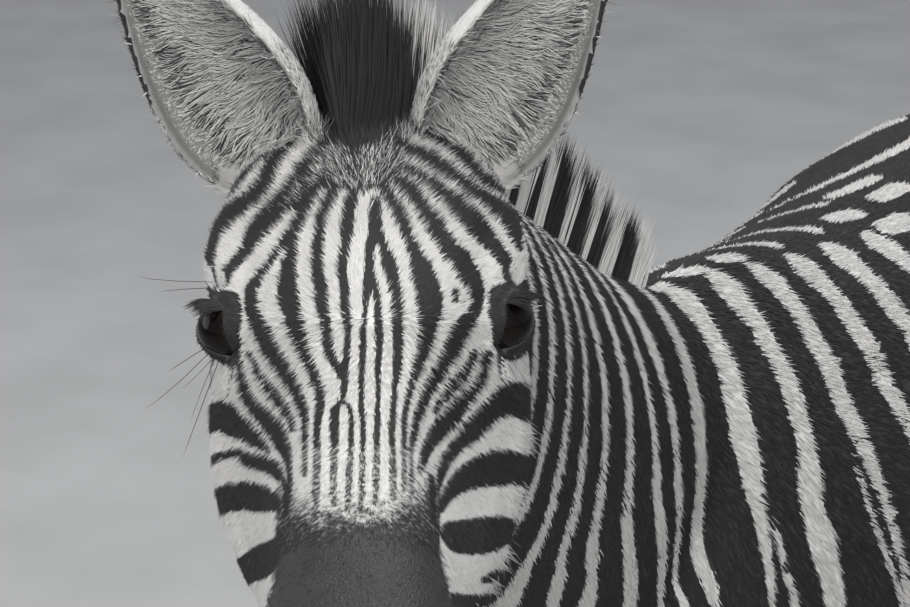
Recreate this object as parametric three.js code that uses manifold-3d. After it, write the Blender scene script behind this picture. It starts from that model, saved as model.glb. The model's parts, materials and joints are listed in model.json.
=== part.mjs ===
// A zebra standing still, life size. Lengths in millimetres. The trunk runs along Y with the breast
// towards -Y, the left side is +X, Z is up and the soles of the hooves lie on the floor at Z = 0.
// The neck turns to the left, so that the face looks past the left shoulder.
import * as THREE from 'three';
import Module from 'manifold-3d';

const wasm = await Module();
wasm.setup();

// ------------------------------------------------------------------ driving sizes
const GAP = 0.4; // air between pieces that touch
const BODY_RING = 28; // points round the trunk and the head
const LIMB_RING = 12; // points round a leg, the tail and a hoof

// Head: the eyes' middle point, the way it faces, and how far the nose dips under the horizon.
const EYES_MIDDLE = [172, -1074, 1490];
const HEAD_TURN = THREE.MathUtils.degToRad(34.3);
const NOSE_DIP = THREE.MathUtils.degToRad(16.5);
const HEAD_ROLL = THREE.MathUtils.degToRad(1.2);

// Head sections, from the back of the skull to the lips: distance in front of the eyes, height of the
// top over the eyes, half width of the top, half width and height of the widest place, half width
// low on the jaw, height of the underside.
const HEAD_SECTIONS = [
  [-214, -40, 26, 48, -66, 34, -104],
  [-192, -2, 50, 68, -70, 50, -140],
  [-160, 24, 65, 82, -76, 62, -170],
  [-115, 40, 77, 92, -84, 69, -190],
  [-60, 47, 78, 96, -86, 69, -194],
  [0, 47, 62, 98, -82, 62, -178],
  [60, 45, 44, 93, -76, 58, -153],
  [120, 44, 34, 80, -66, 52, -128],
  [180, 43, 31, 64, -48, 44, -106],
  [235, 42, 32, 52, -28, 34, -88],
  [278, 38, 36, 52, -24, 37, -82],
  [306, 29, 35, 49, -28, 36, -86],
  [326, 12, 30, 41, -32, 31, -84],
  [340, -10, 20, 28, -38, 20, -74],
  [345, -27, 10, 14, -44, 9, -61],
];
const TOP_DROP = 10; // the corner of the top lies this far under its middle
const JAW_RISE = 20; // the low corner of the jaw lies this far over the underside
const MUZZLE_FROM = 226; // the bare dark muzzle begins this far in front of the eyes

const EYE_RADIUS = 20;
const EYE_AT = [3, 82, -3]; // in front of, beside and over the middle point of the eyes
const BROW_AT = [-52, 66, 4];
const BROW_SIZE = [62, 34, 34];

// Ears: root and tip in the head's own directions (front, side, up), width and depth of the cup.
const EAR_ROOT = [-150, 54, 0];
const EAR_TIP = [-222, 158, 154];
const EAR_FACES = [0.83, 0.28, 0.35];
const EAR_WALL = 7;
// Share of the length from the root, half width, depth of the cup.
const EAR_SECTIONS = [
  [0.0, 34, 28],
  [0.12, 46, 34],
  [0.26, 53, 36],
  [0.42, 51, 32],
  [0.58, 43, 26],
  [0.74, 32, 20],
  [0.88, 20, 13],
  [0.97, 9, 7],
];
const EAR_OPENING = THREE.MathUtils.degToRad(112); // the cup reaches this far round on each side

// Neck sections, from inside the shoulders to the back of the skull: place of the middle, half
// width, reach towards the crest and towards the throat.
const NECK_SECTIONS = [
  [0, -300, 1035, 120, 222, 190],
  [0, -400, 1075, 128, 205, 212],
  [8, -505, 1132, 112, 178, 196],
  [24, -620, 1222, 94, 148, 172],
  [48, -735, 1318, 80, 122, 146],
  [76, -845, 1402, 72, 102, 126],
  [100, -925, 1446, 66, 92, 100],
];

// Trunk sections, from the breast to the buttocks: place along Y, height of the back, of the belly
// and of the widest place, half width, how full the upper and the lower half are.
const TRUNK_SECTIONS = [
  [-604, 945, 845, 895, 60, 2, 2],
  [-588, 1030, 790, 905, 118, 2, 2],
  [-545, 1120, 742, 915, 165, 1.9, 2],
  [-470, 1222, 716, 930, 197, 1.7, 2.1],
  [-390, 1274, 703, 940, 214, 1.55, 2.2],
  [-300, 1275, 698, 950, 230, 1.55, 2.3],
  [-190, 1256, 690, 945, 252, 1.58, 2.3],
  [-60, 1236, 682, 945, 270, 1.65, 2.3],
  [80, 1226, 690, 950, 278, 1.72, 2.3],
  [210, 1229, 722, 970, 270, 1.8, 2.2],
  [330, 1240, 782, 1000, 258, 1.88, 2.1],
  [440, 1250, 840, 1015, 248, 1.92, 2],
  [530, 1232, 880, 1020, 226, 2, 2],
  [600, 1190, 915, 1025, 186, 2, 2],
  [640, 1130, 955, 1030, 125, 2, 2],
  [656, 1085, 1000, 1040, 60, 2, 2],
];

// Leg sections, from inside the body to the hoof: height, place along Y, place beside the middle,
// half width, reach to the front and to the back.
const FORELEG_SECTIONS = [
  [930, -440, 128, 66, 108, 110],
  [860, -432, 140, 68, 98, 104],
  [780, -418, 146, 62, 80, 90],
  [700, -405, 145, 50, 62, 68],
  [610, -402, 141, 41, 48, 50],
  [520, -403, 138, 34, 39, 38],
  [455, -406, 137, 35.5, 39, 35],
  [400, -407, 136, 37.5, 40, 41],
  [352, -403, 135, 32, 32, 38],
  [300, -400, 135, 24, 25, 31],
  [225, -398, 135, 23.5, 25, 32],
  [172, -396, 135, 30, 30, 38],
  [136, -404, 135, 27, 27, 34],
  [100, -419, 135, 28.5, 28, 31],
  [66, -433, 135, 36, 34, 37],
  [20, -446, 135, 37, 35, 37],
];
const HIND_LEG_SECTIONS = [
  [985, 436, 122, 92, 168, 176],
  [900, 440, 138, 92, 168, 168],
  [825, 436, 148, 84, 152, 148],
  [750, 444, 150, 70, 122, 118],
  [675, 468, 148, 56, 90, 88],
  [610, 498, 145, 44, 62, 62],
  [560, 522, 142, 37, 46, 50],
  [515, 541, 140, 36, 42, 51],
  [468, 545, 138, 35, 42, 44],
  [415, 540, 136, 29, 32, 37],
  [335, 532, 135, 24.5, 26, 33],
  [235, 524, 135, 24, 26, 34],
  [174, 518, 135, 30.5, 30, 39],
  [137, 508, 135, 27.5, 28, 35],
  [100, 492, 135, 29, 29, 32],
  [66, 478, 135, 36, 34, 37],
  [20, 464, 135, 37, 35, 37],
];
const FORE_KNEE = 428; // heights where a leg is divided into its named parts
const FORE_FETLOCK = 205;
const HOCK = 500;
const HIND_FETLOCK = 208;

// Hoof: place of the sole's middle and of the coronet's middle along Y, from the leg's own line.
const FORE_SOLE_Y = -452;
const FORE_CORONET_Y = -437;
const HIND_SOLE_Y = 460;
const HIND_CORONET_Y = 475;
const HOOF_X = 135;
const SOLE_HALF_WIDTH = 47;
const SOLE_FRONT = 58;
const SOLE_BACK = 46;
const CORONET_HALF_WIDTH = 38;
const CORONET_FRONT = 37;
const CORONET_BACK = 38;
const CORONET_HEIGHT = 56;
const CORONET_SLOPE = -0.36; // the coronet is higher in front than at the heels
const HOOF_STEPS = 3;

// Tail: place along Y, height, half width, half depth. The dock leaves the croup and hangs down.
const TAIL_SECTIONS = [
  [575, 1172, 30, 26],
  [620, 1166, 28, 24],
  [660, 1142, 25, 22],
  [688, 1098, 22, 21],
  [703, 1035, 20, 19],
  [710, 980, 18, 18],
  [713, 905, 17, 17],
  [715, 850, 17, 17],
];
const TAIL_TUFT_SECTIONS = [
  [715, 849, 17, 17],
  [715, 815, 27, 25],
  [717, 760, 36, 31],
  [719, 690, 40, 33],
  [720, 610, 36, 30],
  [720, 540, 26, 22],
  [719, 490, 12, 10],
];

// Mane: place of the root's middle on the crest of the neck, the lean of the hairs, how high it
// stands, half width at its root and half width near its top.
const MANE_SECTIONS = [
  [0, -385, 1250, 0.0, 0.42, 0.91, 30, 9, 8],
  [0, -425, 1262, 0.0, 0.46, 0.89, 60, 12, 14],
  [4, -500, 1282, 0.0, 0.5, 0.87, 96, 14, 18],
  [14, -585, 1322, 0.02, 0.5, 0.87, 108, 15, 20],
  [30, -680, 1374, 0.02, 0.47, 0.88, 114, 15, 21],
  [48, -775, 1440, 0.0, 0.42, 0.9, 118, 15, 23],
  [62, -860, 1502, -0.06, 0.36, 0.93, 122, 15, 26],
  [66, -912, 1536, -0.2, 0.3, 0.93, 122, 13, 34],
  [71, -942, 1552, -0.24, 0.26, 0.93, 112, 11, 39],
];
const MANE_SINK = 26; // the roots start this deep in the neck
const MANE_STEPS = 4;

// ------------------------------------------------------------------ colours
const COAT = { color: 0xb9b6ae, roughness: 0.8, metalness: 0 };
const DARK_SKIN = { color: 0x2c2a29, roughness: 0.6, metalness: 0 };
const DARK_HAIR = { color: 0x201f1e, roughness: 0.85, metalness: 0 };
const HORN = { color: 0x4a443d, roughness: 0.55, metalness: 0 };
const EYE = { color: 0x120e0b, roughness: 0.08, metalness: 0 };

// ------------------------------------------------------------------ shape helpers
const vec = (x, y, z) => new THREE.Vector3(x, y, z);

/** Rows of numbers with smooth rows put between them. */
function refine(rows, steps) {
  const out = [];
  for (let i = 0; i < rows.length - 1; i += 1) {
    const p = rows[Math.max(i - 1, 0)];
    const q = rows[i];
    const r = rows[i + 1];
    const s = rows[Math.min(i + 2, rows.length - 1)];
    for (let k = 0; k < steps; k += 1) {
      const t = k / steps;
      out.push(q.map((b, j) => 0.5 * (2 * b + (r[j] - p[j]) * t
        + (2 * p[j] - 5 * b + 4 * r[j] - s[j]) * t * t
        + (3 * b - p[j] - 3 * r[j] + s[j]) * t * t * t)));
    }
  }
  out.push(rows[rows.length - 1]);
  return out;
}

/** Rows whose first column runs from the first row to the last, made longer by `grow` at each end. */
function lengthened(rows, grow) {
  const way = Math.sign(rows[rows.length - 1][0] - rows[0][0]);
  return rows.map(([place, ...rest], i) => {
    const step = (i === rows.length - 1 ? 1 : 0) - (i === 0 ? 1 : 0);
    return [place + way * step * grow, ...rest];
  });
}

/** A closed solid through rings of points, with its two ends filled. */
function loft(rings) {
  const count = rings[0].length;
  const points = rings.flat();
  const faces = [];
  for (let i = 0; i < rings.length - 1; i += 1) {
    for (let j = 0; j < count; j += 1) {
      const a = i * count + j;
      const b = i * count + ((j + 1) % count);
      faces.push([a, b, b + count], [a, b + count, a + count]);
    }
  }
  for (const [first, flip] of [[0, true], [rings.length - 1, false]]) {
    const middle = rings[first].reduce((sum, p) => sum.add(p), vec(0, 0, 0)).divideScalar(count);
    const index = points.push(middle) - 1;
    for (let j = 0; j < count; j += 1) {
      const a = first * count + j;
      const b = first * count + ((j + 1) % count);
      faces.push(flip ? [index, b, a] : [index, a, b]);
    }
  }
  const volume = faces.reduce((sum, [a, b, c]) => (
    sum + points[a].dot(vec(0, 0, 0).crossVectors(points[b], points[c]))), 0);
  const outward = volume < 0 ? faces.map(([a, b, c]) => [a, c, b]) : faces;
  return new wasm.Manifold(new wasm.Mesh({
    numProp: 3,
    vertProperties: new Float32Array(points.flatMap((p) => [p.x, p.y, p.z])),
    triVerts: new Uint32Array(outward.flat()),
  }));
}

/** A ring round `middle`: half width along `side`, reach along `up` and against it. */
function ring(middle, side, up, half, over, under, count, fullOver = 2, fullUnder = 2) {
  return Array.from({ length: count }, (_, j) => {
    const turn = (2 * Math.PI * j) / count;
    const c = Math.cos(turn);
    const s = Math.sin(turn);
    const power = 2 / (s >= 0 ? fullOver : fullUnder);
    const across = half * Math.sign(c) * Math.abs(c) ** power;
    const along = (s >= 0 ? over : under) * Math.sign(s) * Math.abs(s) ** power;
    return middle.clone().addScaledVector(side, across).addScaledVector(up, along);
  });
}

/** An egg-shaped mass with its three half sizes along three directions. */
function mass(middle, directions, sizes, count) {
  const [front, side, up] = directions;
  const rings = [];
  for (let i = 1; i < count / 2; i += 1) {
    const turn = (2 * Math.PI * i) / count;
    const at = middle.clone().addScaledVector(front, -sizes[0] * Math.cos(turn));
    const width = Math.sin(turn);
    rings.push(ring(at, side, up, sizes[1] * width, sizes[2] * width, sizes[2] * width, count));
  }
  return loft(rings);
}

/** A block that fills one side of a plane, to cut with. */
function halfSpace(point, normal) {
  const reach = 3000;
  const up = Math.abs(normal.z) > 0.9 ? vec(1, 0, 0) : vec(0, 0, 1);
  const side = vec(0, 0, 0).crossVectors(up, normal).normalize();
  const other = vec(0, 0, 0).crossVectors(normal, side).normalize();
  const near = point.clone();
  const far = point.clone().addScaledVector(normal, reach);
  return loft([near, far].map((p) => [[1, 1], [-1, 1], [-1, -1], [1, -1]].map(([a, b]) => (
    p.clone().addScaledVector(side, a * reach).addScaledVector(other, b * reach)))));
}

// ------------------------------------------------------------------ head
const headTurned = vec(Math.sin(HEAD_TURN), -Math.cos(HEAD_TURN), 0);
const levelSide = vec(Math.cos(HEAD_TURN), Math.sin(HEAD_TURN), 0);
const headFront = headTurned.clone().multiplyScalar(Math.cos(NOSE_DIP))
  .add(vec(0, 0, -Math.sin(NOSE_DIP)));
const headSide = levelSide.clone().applyAxisAngle(headFront, HEAD_ROLL);
const headUp = vec(0, 0, 0).crossVectors(headFront, headSide);
const headAt = ([front, side, up]) => vec(...EYES_MIDDLE).addScaledVector(headFront, front)
  .addScaledVector(headSide, side).addScaledVector(headUp, up);
const headDirections = [headFront, headSide, headUp];

/** The left part of a pair is at side 1 and the right one at side -1. */
const mirrored = ([front, side, up], hand) => [front, side * hand, up];

function headRing([front, top, topHalf, half, widest, jawHalf, bottom], grow) {
  const outline = [
    [0, top + grow],
    [topHalf + grow, top - TOP_DROP + grow],
    [half + grow, widest],
    [jawHalf + grow, bottom + JAW_RISE - grow],
    [0, bottom - grow],
    [-jawHalf - grow, bottom + JAW_RISE - grow],
    [-half - grow, widest],
    [-topHalf - grow, top - TOP_DROP + grow],
  ].map(([side, up]) => vec(side, up, 0));
  const curve = new THREE.CatmullRomCurve3(outline, true, 'centripetal');
  return Array.from({ length: BODY_RING }, (_, j) => {
    const p = curve.getPoint(j / BODY_RING);
    return headAt([front, p.x, p.y]);
  });
}

function headFlesh(grow) {
  let flesh = loft(lengthened(refine(HEAD_SECTIONS, 2), grow).map((row) => headRing(row, grow)));
  for (const hand of [1, -1]) {
    const sizes = BROW_SIZE.map((size) => size + grow);
    flesh = flesh.add(mass(headAt(mirrored(BROW_AT, hand)), headDirections, sizes, 16));
  }
  return flesh;
}

function eyeball(hand, grow) {
  const size = EYE_RADIUS + grow;
  return mass(headAt(mirrored(EYE_AT, hand)), [headSide, headFront, headUp], [size, size, size], 14);
}

function ear(hand) {
  const root = headAt(mirrored(EAR_ROOT, hand));
  const tip = headAt(mirrored(EAR_TIP, hand));
  const along = tip.clone().sub(root);
  const [front, side, up] = mirrored(EAR_FACES, hand);
  const open = vec(0, 0, 0).addScaledVector(headFront, front).addScaledVector(headSide, side)
    .addScaledVector(headUp, up);
  open.addScaledVector(along, -open.dot(along) / along.lengthSq()).normalize();
  const across = vec(0, 0, 0).crossVectors(open, along).normalize();
  const arc = 7;
  const rings = refine(EAR_SECTIONS, 2).map(([share, half, depth]) => {
    const middle = root.clone().addScaledVector(along, share);
    const wall = Math.min(EAR_WALL, half * 0.45, depth * 0.5);
    const points = [];
    for (const [inset, way] of [[0, 1], [wall, -1]]) {
      for (let j = 0; j <= arc; j += 1) {
        const turn = way * EAR_OPENING * ((2 * j) / arc - 1);
        points.push(middle.clone()
          .addScaledVector(across, (half - inset) * Math.sin(turn))
          .addScaledVector(open, -(depth - inset) * Math.cos(turn)));
      }
    }
    return points;
  });
  return loft(rings);
}

// ------------------------------------------------------------------ neck, trunk, mane, tail
function neckFlesh(grow) {
  const rows = NECK_SECTIONS;
  const middles = rows.map(([x, y, z]) => vec(x, y, z));
  return loft(rows.map(([, , , half, crest, throat], i) => {
    const along = middles[Math.min(i + 1, rows.length - 1)].clone()
      .sub(middles[Math.max(i - 1, 0)]).normalize();
    const side = vec(0, 0, 0).crossVectors(vec(0, 0, 1), along).normalize().negate();
    const up = vec(0, 0, 0).crossVectors(along, side).normalize().negate();
    if (up.z < 0) up.negate();
    return ring(middles[i], side, up, half + grow, crest + grow, throat + grow, BODY_RING, 1.8, 2.1);
  }));
}

function trunkFlesh(grow) {
  const side = vec(1, 0, 0);
  const up = vec(0, 0, 1);
  const rows = lengthened(TRUNK_SECTIONS, grow);
  return loft(rows.map(([y, back, belly, widest, half, over, under]) => (
    ring(vec(0, y, widest), side, up, half + grow, back - widest + grow, widest - belly + grow,
      BODY_RING, over, under))));
}

function mane() {
  const rows = refine(MANE_SECTIONS, 2);
  const roots = rows.map(([x, y, z]) => vec(x, y, z));
  return loft(rows.map(([, , , lx, ly, lz, high, rootHalf, topHalf], i) => {
    const along = roots[Math.min(i + 1, rows.length - 1)].clone()
      .sub(roots[Math.max(i - 1, 0)]).normalize();
    const lean = vec(lx, ly, lz).normalize();
    const side = vec(0, 0, 0).crossVectors(lean, along).normalize();
    const left = [];
    const right = [];
    for (let k = 0; k <= MANE_STEPS; k += 1) {
      const share = k / MANE_STEPS;
      const at = roots[i].clone().addScaledVector(lean, share * (high + MANE_SINK) - MANE_SINK);
      const round = k === MANE_STEPS ? 0.45 : 1;
      const half = round * THREE.MathUtils.lerp(rootHalf, topHalf, Math.min(share * 1.25, 1));
      left.push(at.clone().addScaledVector(side, half));
      right.push(at.clone().addScaledVector(side, -half));
    }
    return [...left, ...right.reverse()];
  }));
}

function hanging(sections) {
  const rows = sections;
  const middles = rows.map(([y, z]) => vec(0, y, z));
  return loft(rows.map(([, , half, deep], i) => {
    const along = middles[Math.min(i + 1, rows.length - 1)].clone()
      .sub(middles[Math.max(i - 1, 0)]).normalize();
    const side = vec(1, 0, 0);
    const up = vec(0, 0, 0).crossVectors(along, side).normalize();
    return ring(middles[i], side, up, half, deep, deep, LIMB_RING);
  }));
}

// ------------------------------------------------------------------ legs and hooves
function leg(sections, hand) {
  return loft(sections.map(([z, y, x, half, front, back]) => (
    ring(vec(x * hand, y, z), vec(1, 0, 0), vec(0, -1, 0), half, front, back, LIMB_RING, 2.1, 2))));
}

function hoof(hand, soleY, coronetY) {
  const rings = [];
  for (let k = 0; k <= HOOF_STEPS; k += 1) {
    const share = k / HOOF_STEPS;
    const mix = (low, high) => THREE.MathUtils.lerp(low, high, share);
    const points = ring(vec(HOOF_X * hand, mix(soleY, coronetY), 0), vec(1, 0, 0), vec(0, -1, 0),
      mix(SOLE_HALF_WIDTH, CORONET_HALF_WIDTH), mix(SOLE_FRONT, CORONET_FRONT),
      mix(SOLE_BACK, CORONET_BACK), 20, 2, 2.3);
    for (const p of points) {
      p.z = share * (CORONET_HEIGHT - GAP + CORONET_SLOPE * (p.y - coronetY));
    }
    rings.push(points);
  }
  return loft(rings);
}

// ------------------------------------------------------------------ the nodes
const pieces = [];
const node = (name, solid, finish) => pieces.push([name, solid, finish]);
const handName = (hand) => (hand > 0 ? 'left' : 'right');

const trunk = trunkFlesh(0);
const trunkGrown = trunkFlesh(GAP);
const neckGrown = neckFlesh(GAP);
const headGrown = headFlesh(GAP);

let head = headFlesh(0);
for (const hand of [1, -1]) head = head.subtract(eyeball(hand, GAP));
node('trunk', trunk, COAT);
node('neck', neckFlesh(0).subtract(trunkGrown).subtract(headGrown), COAT);
node('head', head.subtract(halfSpace(headAt([MUZZLE_FROM - GAP, 0, 0]), headFront)), COAT);
node('muzzle', head.subtract(halfSpace(headAt([MUZZLE_FROM, 0, 0]), headFront.clone().negate())),
  DARK_SKIN);
node('mane', mane().subtract(trunkGrown).subtract(neckGrown).subtract(headGrown), DARK_HAIR);
for (const hand of [1, -1]) {
  node(`eye_${handName(hand)}`, eyeball(hand, 0), EYE);
  node(`ear_${handName(hand)}`, ear(hand).subtract(headGrown).subtract(neckGrown), COAT);
}

for (const [place, sections, middle, fetlock, soleY, coronetY, names] of [
  ['front', FORELEG_SECTIONS, FORE_KNEE, FORE_FETLOCK, FORE_SOLE_Y, FORE_CORONET_Y,
    ['forearm', 'fore_cannon', 'fore_pastern']],
  ['hind', HIND_LEG_SECTIONS, HOCK, HIND_FETLOCK, HIND_SOLE_Y, HIND_CORONET_Y,
    ['thigh', 'hind_cannon', 'hind_pastern']],
]) {
  for (const hand of [1, -1]) {
    const down = vec(0, 0, -1);
    const upward = vec(0, 0, 1);
    const whole = leg(sections, hand).subtract(trunkGrown);
    const coronetNormal = vec(0, CORONET_SLOPE, -1).normalize();
    const under = halfSpace(vec(0, coronetY, CORONET_HEIGHT), coronetNormal);
    node(`${names[0]}_${handName(hand)}`, whole
      .subtract(halfSpace(vec(0, 0, middle + GAP), down)), COAT);
    node(`${names[1]}_${handName(hand)}`, whole
      .subtract(halfSpace(vec(0, 0, middle), upward))
      .subtract(halfSpace(vec(0, 0, fetlock + GAP), down)), COAT);
    node(`${names[2]}_${handName(hand)}`, whole
      .subtract(halfSpace(vec(0, 0, fetlock), upward)).subtract(under), COAT);
    node(`hoof_${place}_${handName(hand)}`, hoof(hand, soleY, coronetY), HORN);
  }
}

node('tail', hanging(TAIL_SECTIONS).subtract(trunkGrown), COAT);
const tuftTop = TAIL_TUFT_SECTIONS[0][1];
node('tail_tuft', hanging(TAIL_TUFT_SECTIONS)
  .subtract(halfSpace(vec(0, 0, tuftTop), vec(0, 0, 1))), DARK_HAIR);

// ------------------------------------------------------------------ meshes
/** The largest connected body of a mesh, so that no thin shaving of a cut is left beside it. */
function largestBody(positions, triangles) {
  const parent = Array.from({ length: positions.length / 3 }, (_, i) => i);
  const find = (i) => {
    let k = i;
    while (parent[k] !== k) {
      parent[k] = parent[parent[k]];
      k = parent[k];
    }
    return k;
  };
  for (let i = 0; i < triangles.length; i += 3) {
    parent[find(triangles[i])] = find(triangles[i + 1]);
    parent[find(triangles[i + 1])] = find(triangles[i + 2]);
  }
  const groups = new Map();
  for (let i = 0; i < triangles.length; i += 3) {
    const key = find(triangles[i]);
    if (!groups.has(key)) groups.set(key, []);
    groups.get(key).push(triangles[i], triangles[i + 1], triangles[i + 2]);
  }
  return [...groups.values()].sort((a, b) => b.length - a.length)[0];
}

const group = new THREE.Group();
for (const [name, solid, finish] of pieces) {
  const mesh = solid.getMesh();
  const geometry = new THREE.BufferGeometry();
  const positions = Array.from(mesh.vertProperties);
  geometry.setAttribute('position', new THREE.Float32BufferAttribute(positions, 3));
  geometry.setIndex(largestBody(positions, Array.from(mesh.triVerts)));
  const item = new THREE.Mesh(geometry, new THREE.MeshStandardMaterial(finish));
  item.name = name;
  group.add(item);
}

// The origin is on the floor under the middle of the whole animal.
const bounds = new THREE.Box3().setFromObject(group);
const centre = bounds.getCenter(vec(0, 0, 0));
for (const item of group.children) item.geometry.translate(-centre.x, -centre.y, -bounds.min.z);

export default group;
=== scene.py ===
# %% [markdown]
# # A zebra, life size, looking at you
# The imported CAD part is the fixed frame. Everything here is built round it: one skin over the
# flesh, eyes, hooves, and a coat of solid tufts that follow the lie of the hair.

import json
import math

import bpy
import numpy as np
from mathutils import Matrix, Vector
from mathutils.bvhtree import BVHTree

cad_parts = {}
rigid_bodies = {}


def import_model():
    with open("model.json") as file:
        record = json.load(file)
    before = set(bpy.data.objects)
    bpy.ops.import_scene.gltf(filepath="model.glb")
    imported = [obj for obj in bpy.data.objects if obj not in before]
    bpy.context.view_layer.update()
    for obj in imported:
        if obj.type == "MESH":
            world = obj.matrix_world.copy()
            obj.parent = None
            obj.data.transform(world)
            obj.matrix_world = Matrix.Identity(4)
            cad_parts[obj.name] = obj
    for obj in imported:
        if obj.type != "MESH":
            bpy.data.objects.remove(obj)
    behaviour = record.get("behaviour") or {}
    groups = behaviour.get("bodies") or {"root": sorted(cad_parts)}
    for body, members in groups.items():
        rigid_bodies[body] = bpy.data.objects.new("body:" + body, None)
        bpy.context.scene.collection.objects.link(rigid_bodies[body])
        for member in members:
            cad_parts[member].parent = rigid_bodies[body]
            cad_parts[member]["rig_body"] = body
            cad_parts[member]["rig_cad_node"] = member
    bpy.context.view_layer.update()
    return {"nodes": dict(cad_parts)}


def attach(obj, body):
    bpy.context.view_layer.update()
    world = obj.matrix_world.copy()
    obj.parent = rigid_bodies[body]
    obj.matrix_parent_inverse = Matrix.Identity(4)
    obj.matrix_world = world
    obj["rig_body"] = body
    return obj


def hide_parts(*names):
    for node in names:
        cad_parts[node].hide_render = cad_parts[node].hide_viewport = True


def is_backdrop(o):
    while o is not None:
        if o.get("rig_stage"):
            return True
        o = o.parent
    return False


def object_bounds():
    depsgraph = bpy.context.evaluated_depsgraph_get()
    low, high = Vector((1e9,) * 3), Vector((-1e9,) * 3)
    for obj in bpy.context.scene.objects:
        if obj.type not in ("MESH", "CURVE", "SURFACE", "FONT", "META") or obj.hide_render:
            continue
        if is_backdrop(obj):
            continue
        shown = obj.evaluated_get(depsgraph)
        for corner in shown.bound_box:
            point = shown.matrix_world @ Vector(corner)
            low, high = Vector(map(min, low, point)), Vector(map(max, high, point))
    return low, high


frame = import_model()
SEED = 11
rng = np.random.default_rng(SEED)
MM = 0.001

# %% [markdown]
# ## Rises, humps and waves
# The sculpting and the markings are written as functions of a point, so the skin and the coat can
# share them. They are put together from three plain curves: an even rise, a hump and a soft wave.

# %% Curves


def unit(v):
    """Vectors drawn to a length of one."""
    v = np.asarray(v, float)
    return v / np.maximum(np.linalg.norm(v, axis=-1, keepdims=True), 1e-12)


def smooth(low, high, x):
    """0 below low, 1 above high, and an even rise between them."""
    t = np.clip((np.asarray(x, float) - low) / (high - low), 0, 1)
    return t * t * (3 - 2 * t)


def hump(x, middle, width):
    """1 at the middle, and less on both sides over about this width."""
    return np.exp(-(((x - middle) / width) ** 2))


def turned(v, axis, angle):
    """v turned about an axis by an angle in radians."""
    v, axis = np.asarray(v, float), unit(axis)
    c, s = math.cos(angle), math.sin(angle)
    return v * c + np.cross(axis, v) * s + axis * (axis @ v) * (1 - c)


def wave(points, size, seed):
    """A soft random field from -1 to 1 that changes over about this many millimetres."""
    local = np.random.default_rng(seed)
    total = np.zeros(len(points))
    for _ in range(5):
        direction = unit(local.normal(size=3)) * 2 * math.pi / (size * local.uniform(0.7, 1.7))
        total += np.sin(points @ direction + local.uniform(0, 2 * math.pi))
    return total / 3


print("a tenth of the way up, a rise from 0 to 1 has reached", round(float(smooth(0, 1, 0.1)), 3))

# %% [markdown]
# ## Meshes as arrays
# A skin has a hundred thousand points. They are read and written as whole arrays, which is quick,
# and changes such as smoothing are modifiers that are applied at once.

# %% Mesh helpers


def get_points(mesh):
    flat = np.empty(len(mesh.vertices) * 3)
    mesh.vertices.foreach_get("co", flat)
    return flat.reshape(-1, 3)


def get_normals(mesh):
    flat = np.empty(len(mesh.vertices) * 3)
    mesh.vertex_normals.foreach_get("vector", flat)
    return flat.reshape(-1, 3)


def set_points(mesh, points):
    mesh.vertices.foreach_set("co", np.ascontiguousarray(points, dtype=np.float32).ravel())
    mesh.update()


def put(mesh, name, values):
    """Stores one number for each vertex."""
    held = mesh.attributes.new(name, "FLOAT", "POINT")
    held.data.foreach_set("value", np.ascontiguousarray(values, dtype=np.float32).ravel())


def pick(obj):
    bpy.ops.object.select_all(action="DESELECT")
    obj.select_set(True)
    bpy.context.view_layer.objects.active = obj


def apply_modifier(obj, kind, **settings):
    modifier = obj.modifiers.new(kind.lower(), kind)
    for name, value in settings.items():
        setattr(modifier, name, value)
    pick(obj)
    bpy.ops.object.modifier_apply(modifier=modifier.name)


def copy_of(node_name, name):
    source = frame["nodes"][node_name]
    made = source.copy()
    made.data = source.data.copy()
    made.name = name
    made.parent = None
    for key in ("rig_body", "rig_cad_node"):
        if key in made:
            del made[key]
    bpy.context.scene.collection.objects.link(made)
    return made


def triangles_of(obj):
    return sum(len(p.vertices) - 2 for p in obj.data.polygons)


print("the trunk's solid comes with", triangles_of(frame["nodes"]["trunk"]), "triangles")

# %% [markdown]
# ## Two sets of directions
# The trunk has its own origin, on the floor under its middle plane. The head is measured from the
# point between the eyes: forwards along the nose, sideways to its own left, and up.

# %% Directions
TRUNK_ORIGIN = np.array([-0.0501, 0.2998, 0.0])
EYES_MIDDLE = np.array([0.1219, -0.7743, 1.490])
HEAD_TURN = math.radians(34.3)
NOSE_DIP = math.radians(16.5)
HEAD_ROLL = math.radians(1.2)
FRONT = np.array([
    math.sin(HEAD_TURN) * math.cos(NOSE_DIP),
    -math.cos(HEAD_TURN) * math.cos(NOSE_DIP),
    -math.sin(NOSE_DIP),
])
SIDE = turned([math.cos(HEAD_TURN), math.sin(HEAD_TURN), 0], FRONT, HEAD_ROLL)
UP = np.cross(FRONT, SIDE)
HEAD_AXES = np.stack([FRONT, SIDE, UP])


def in_head(points):
    """Millimetres in front of, beside and over the point between the eyes."""
    return (points - EYES_MIDDLE) @ HEAD_AXES.T / MM


def from_head(places):
    return np.asarray(places, float) * MM @ HEAD_AXES + EYES_MIDDLE


def in_trunk(points):
    """Millimetres to the left of, behind and over the trunk's origin."""
    return (points - TRUNK_ORIGIN) / MM


print("the nose points along", [round(float(part), 3) for part in FRONT])

# %% [markdown]
# ## One skin from the nodes of flesh
# A real hide has no seams, so copies of the flesh nodes are joined and wrapped in one even mesh by
# a voxel remesh. Each part is smoothed as much as its form allows: much on the trunk, little on
# the ears.

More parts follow.
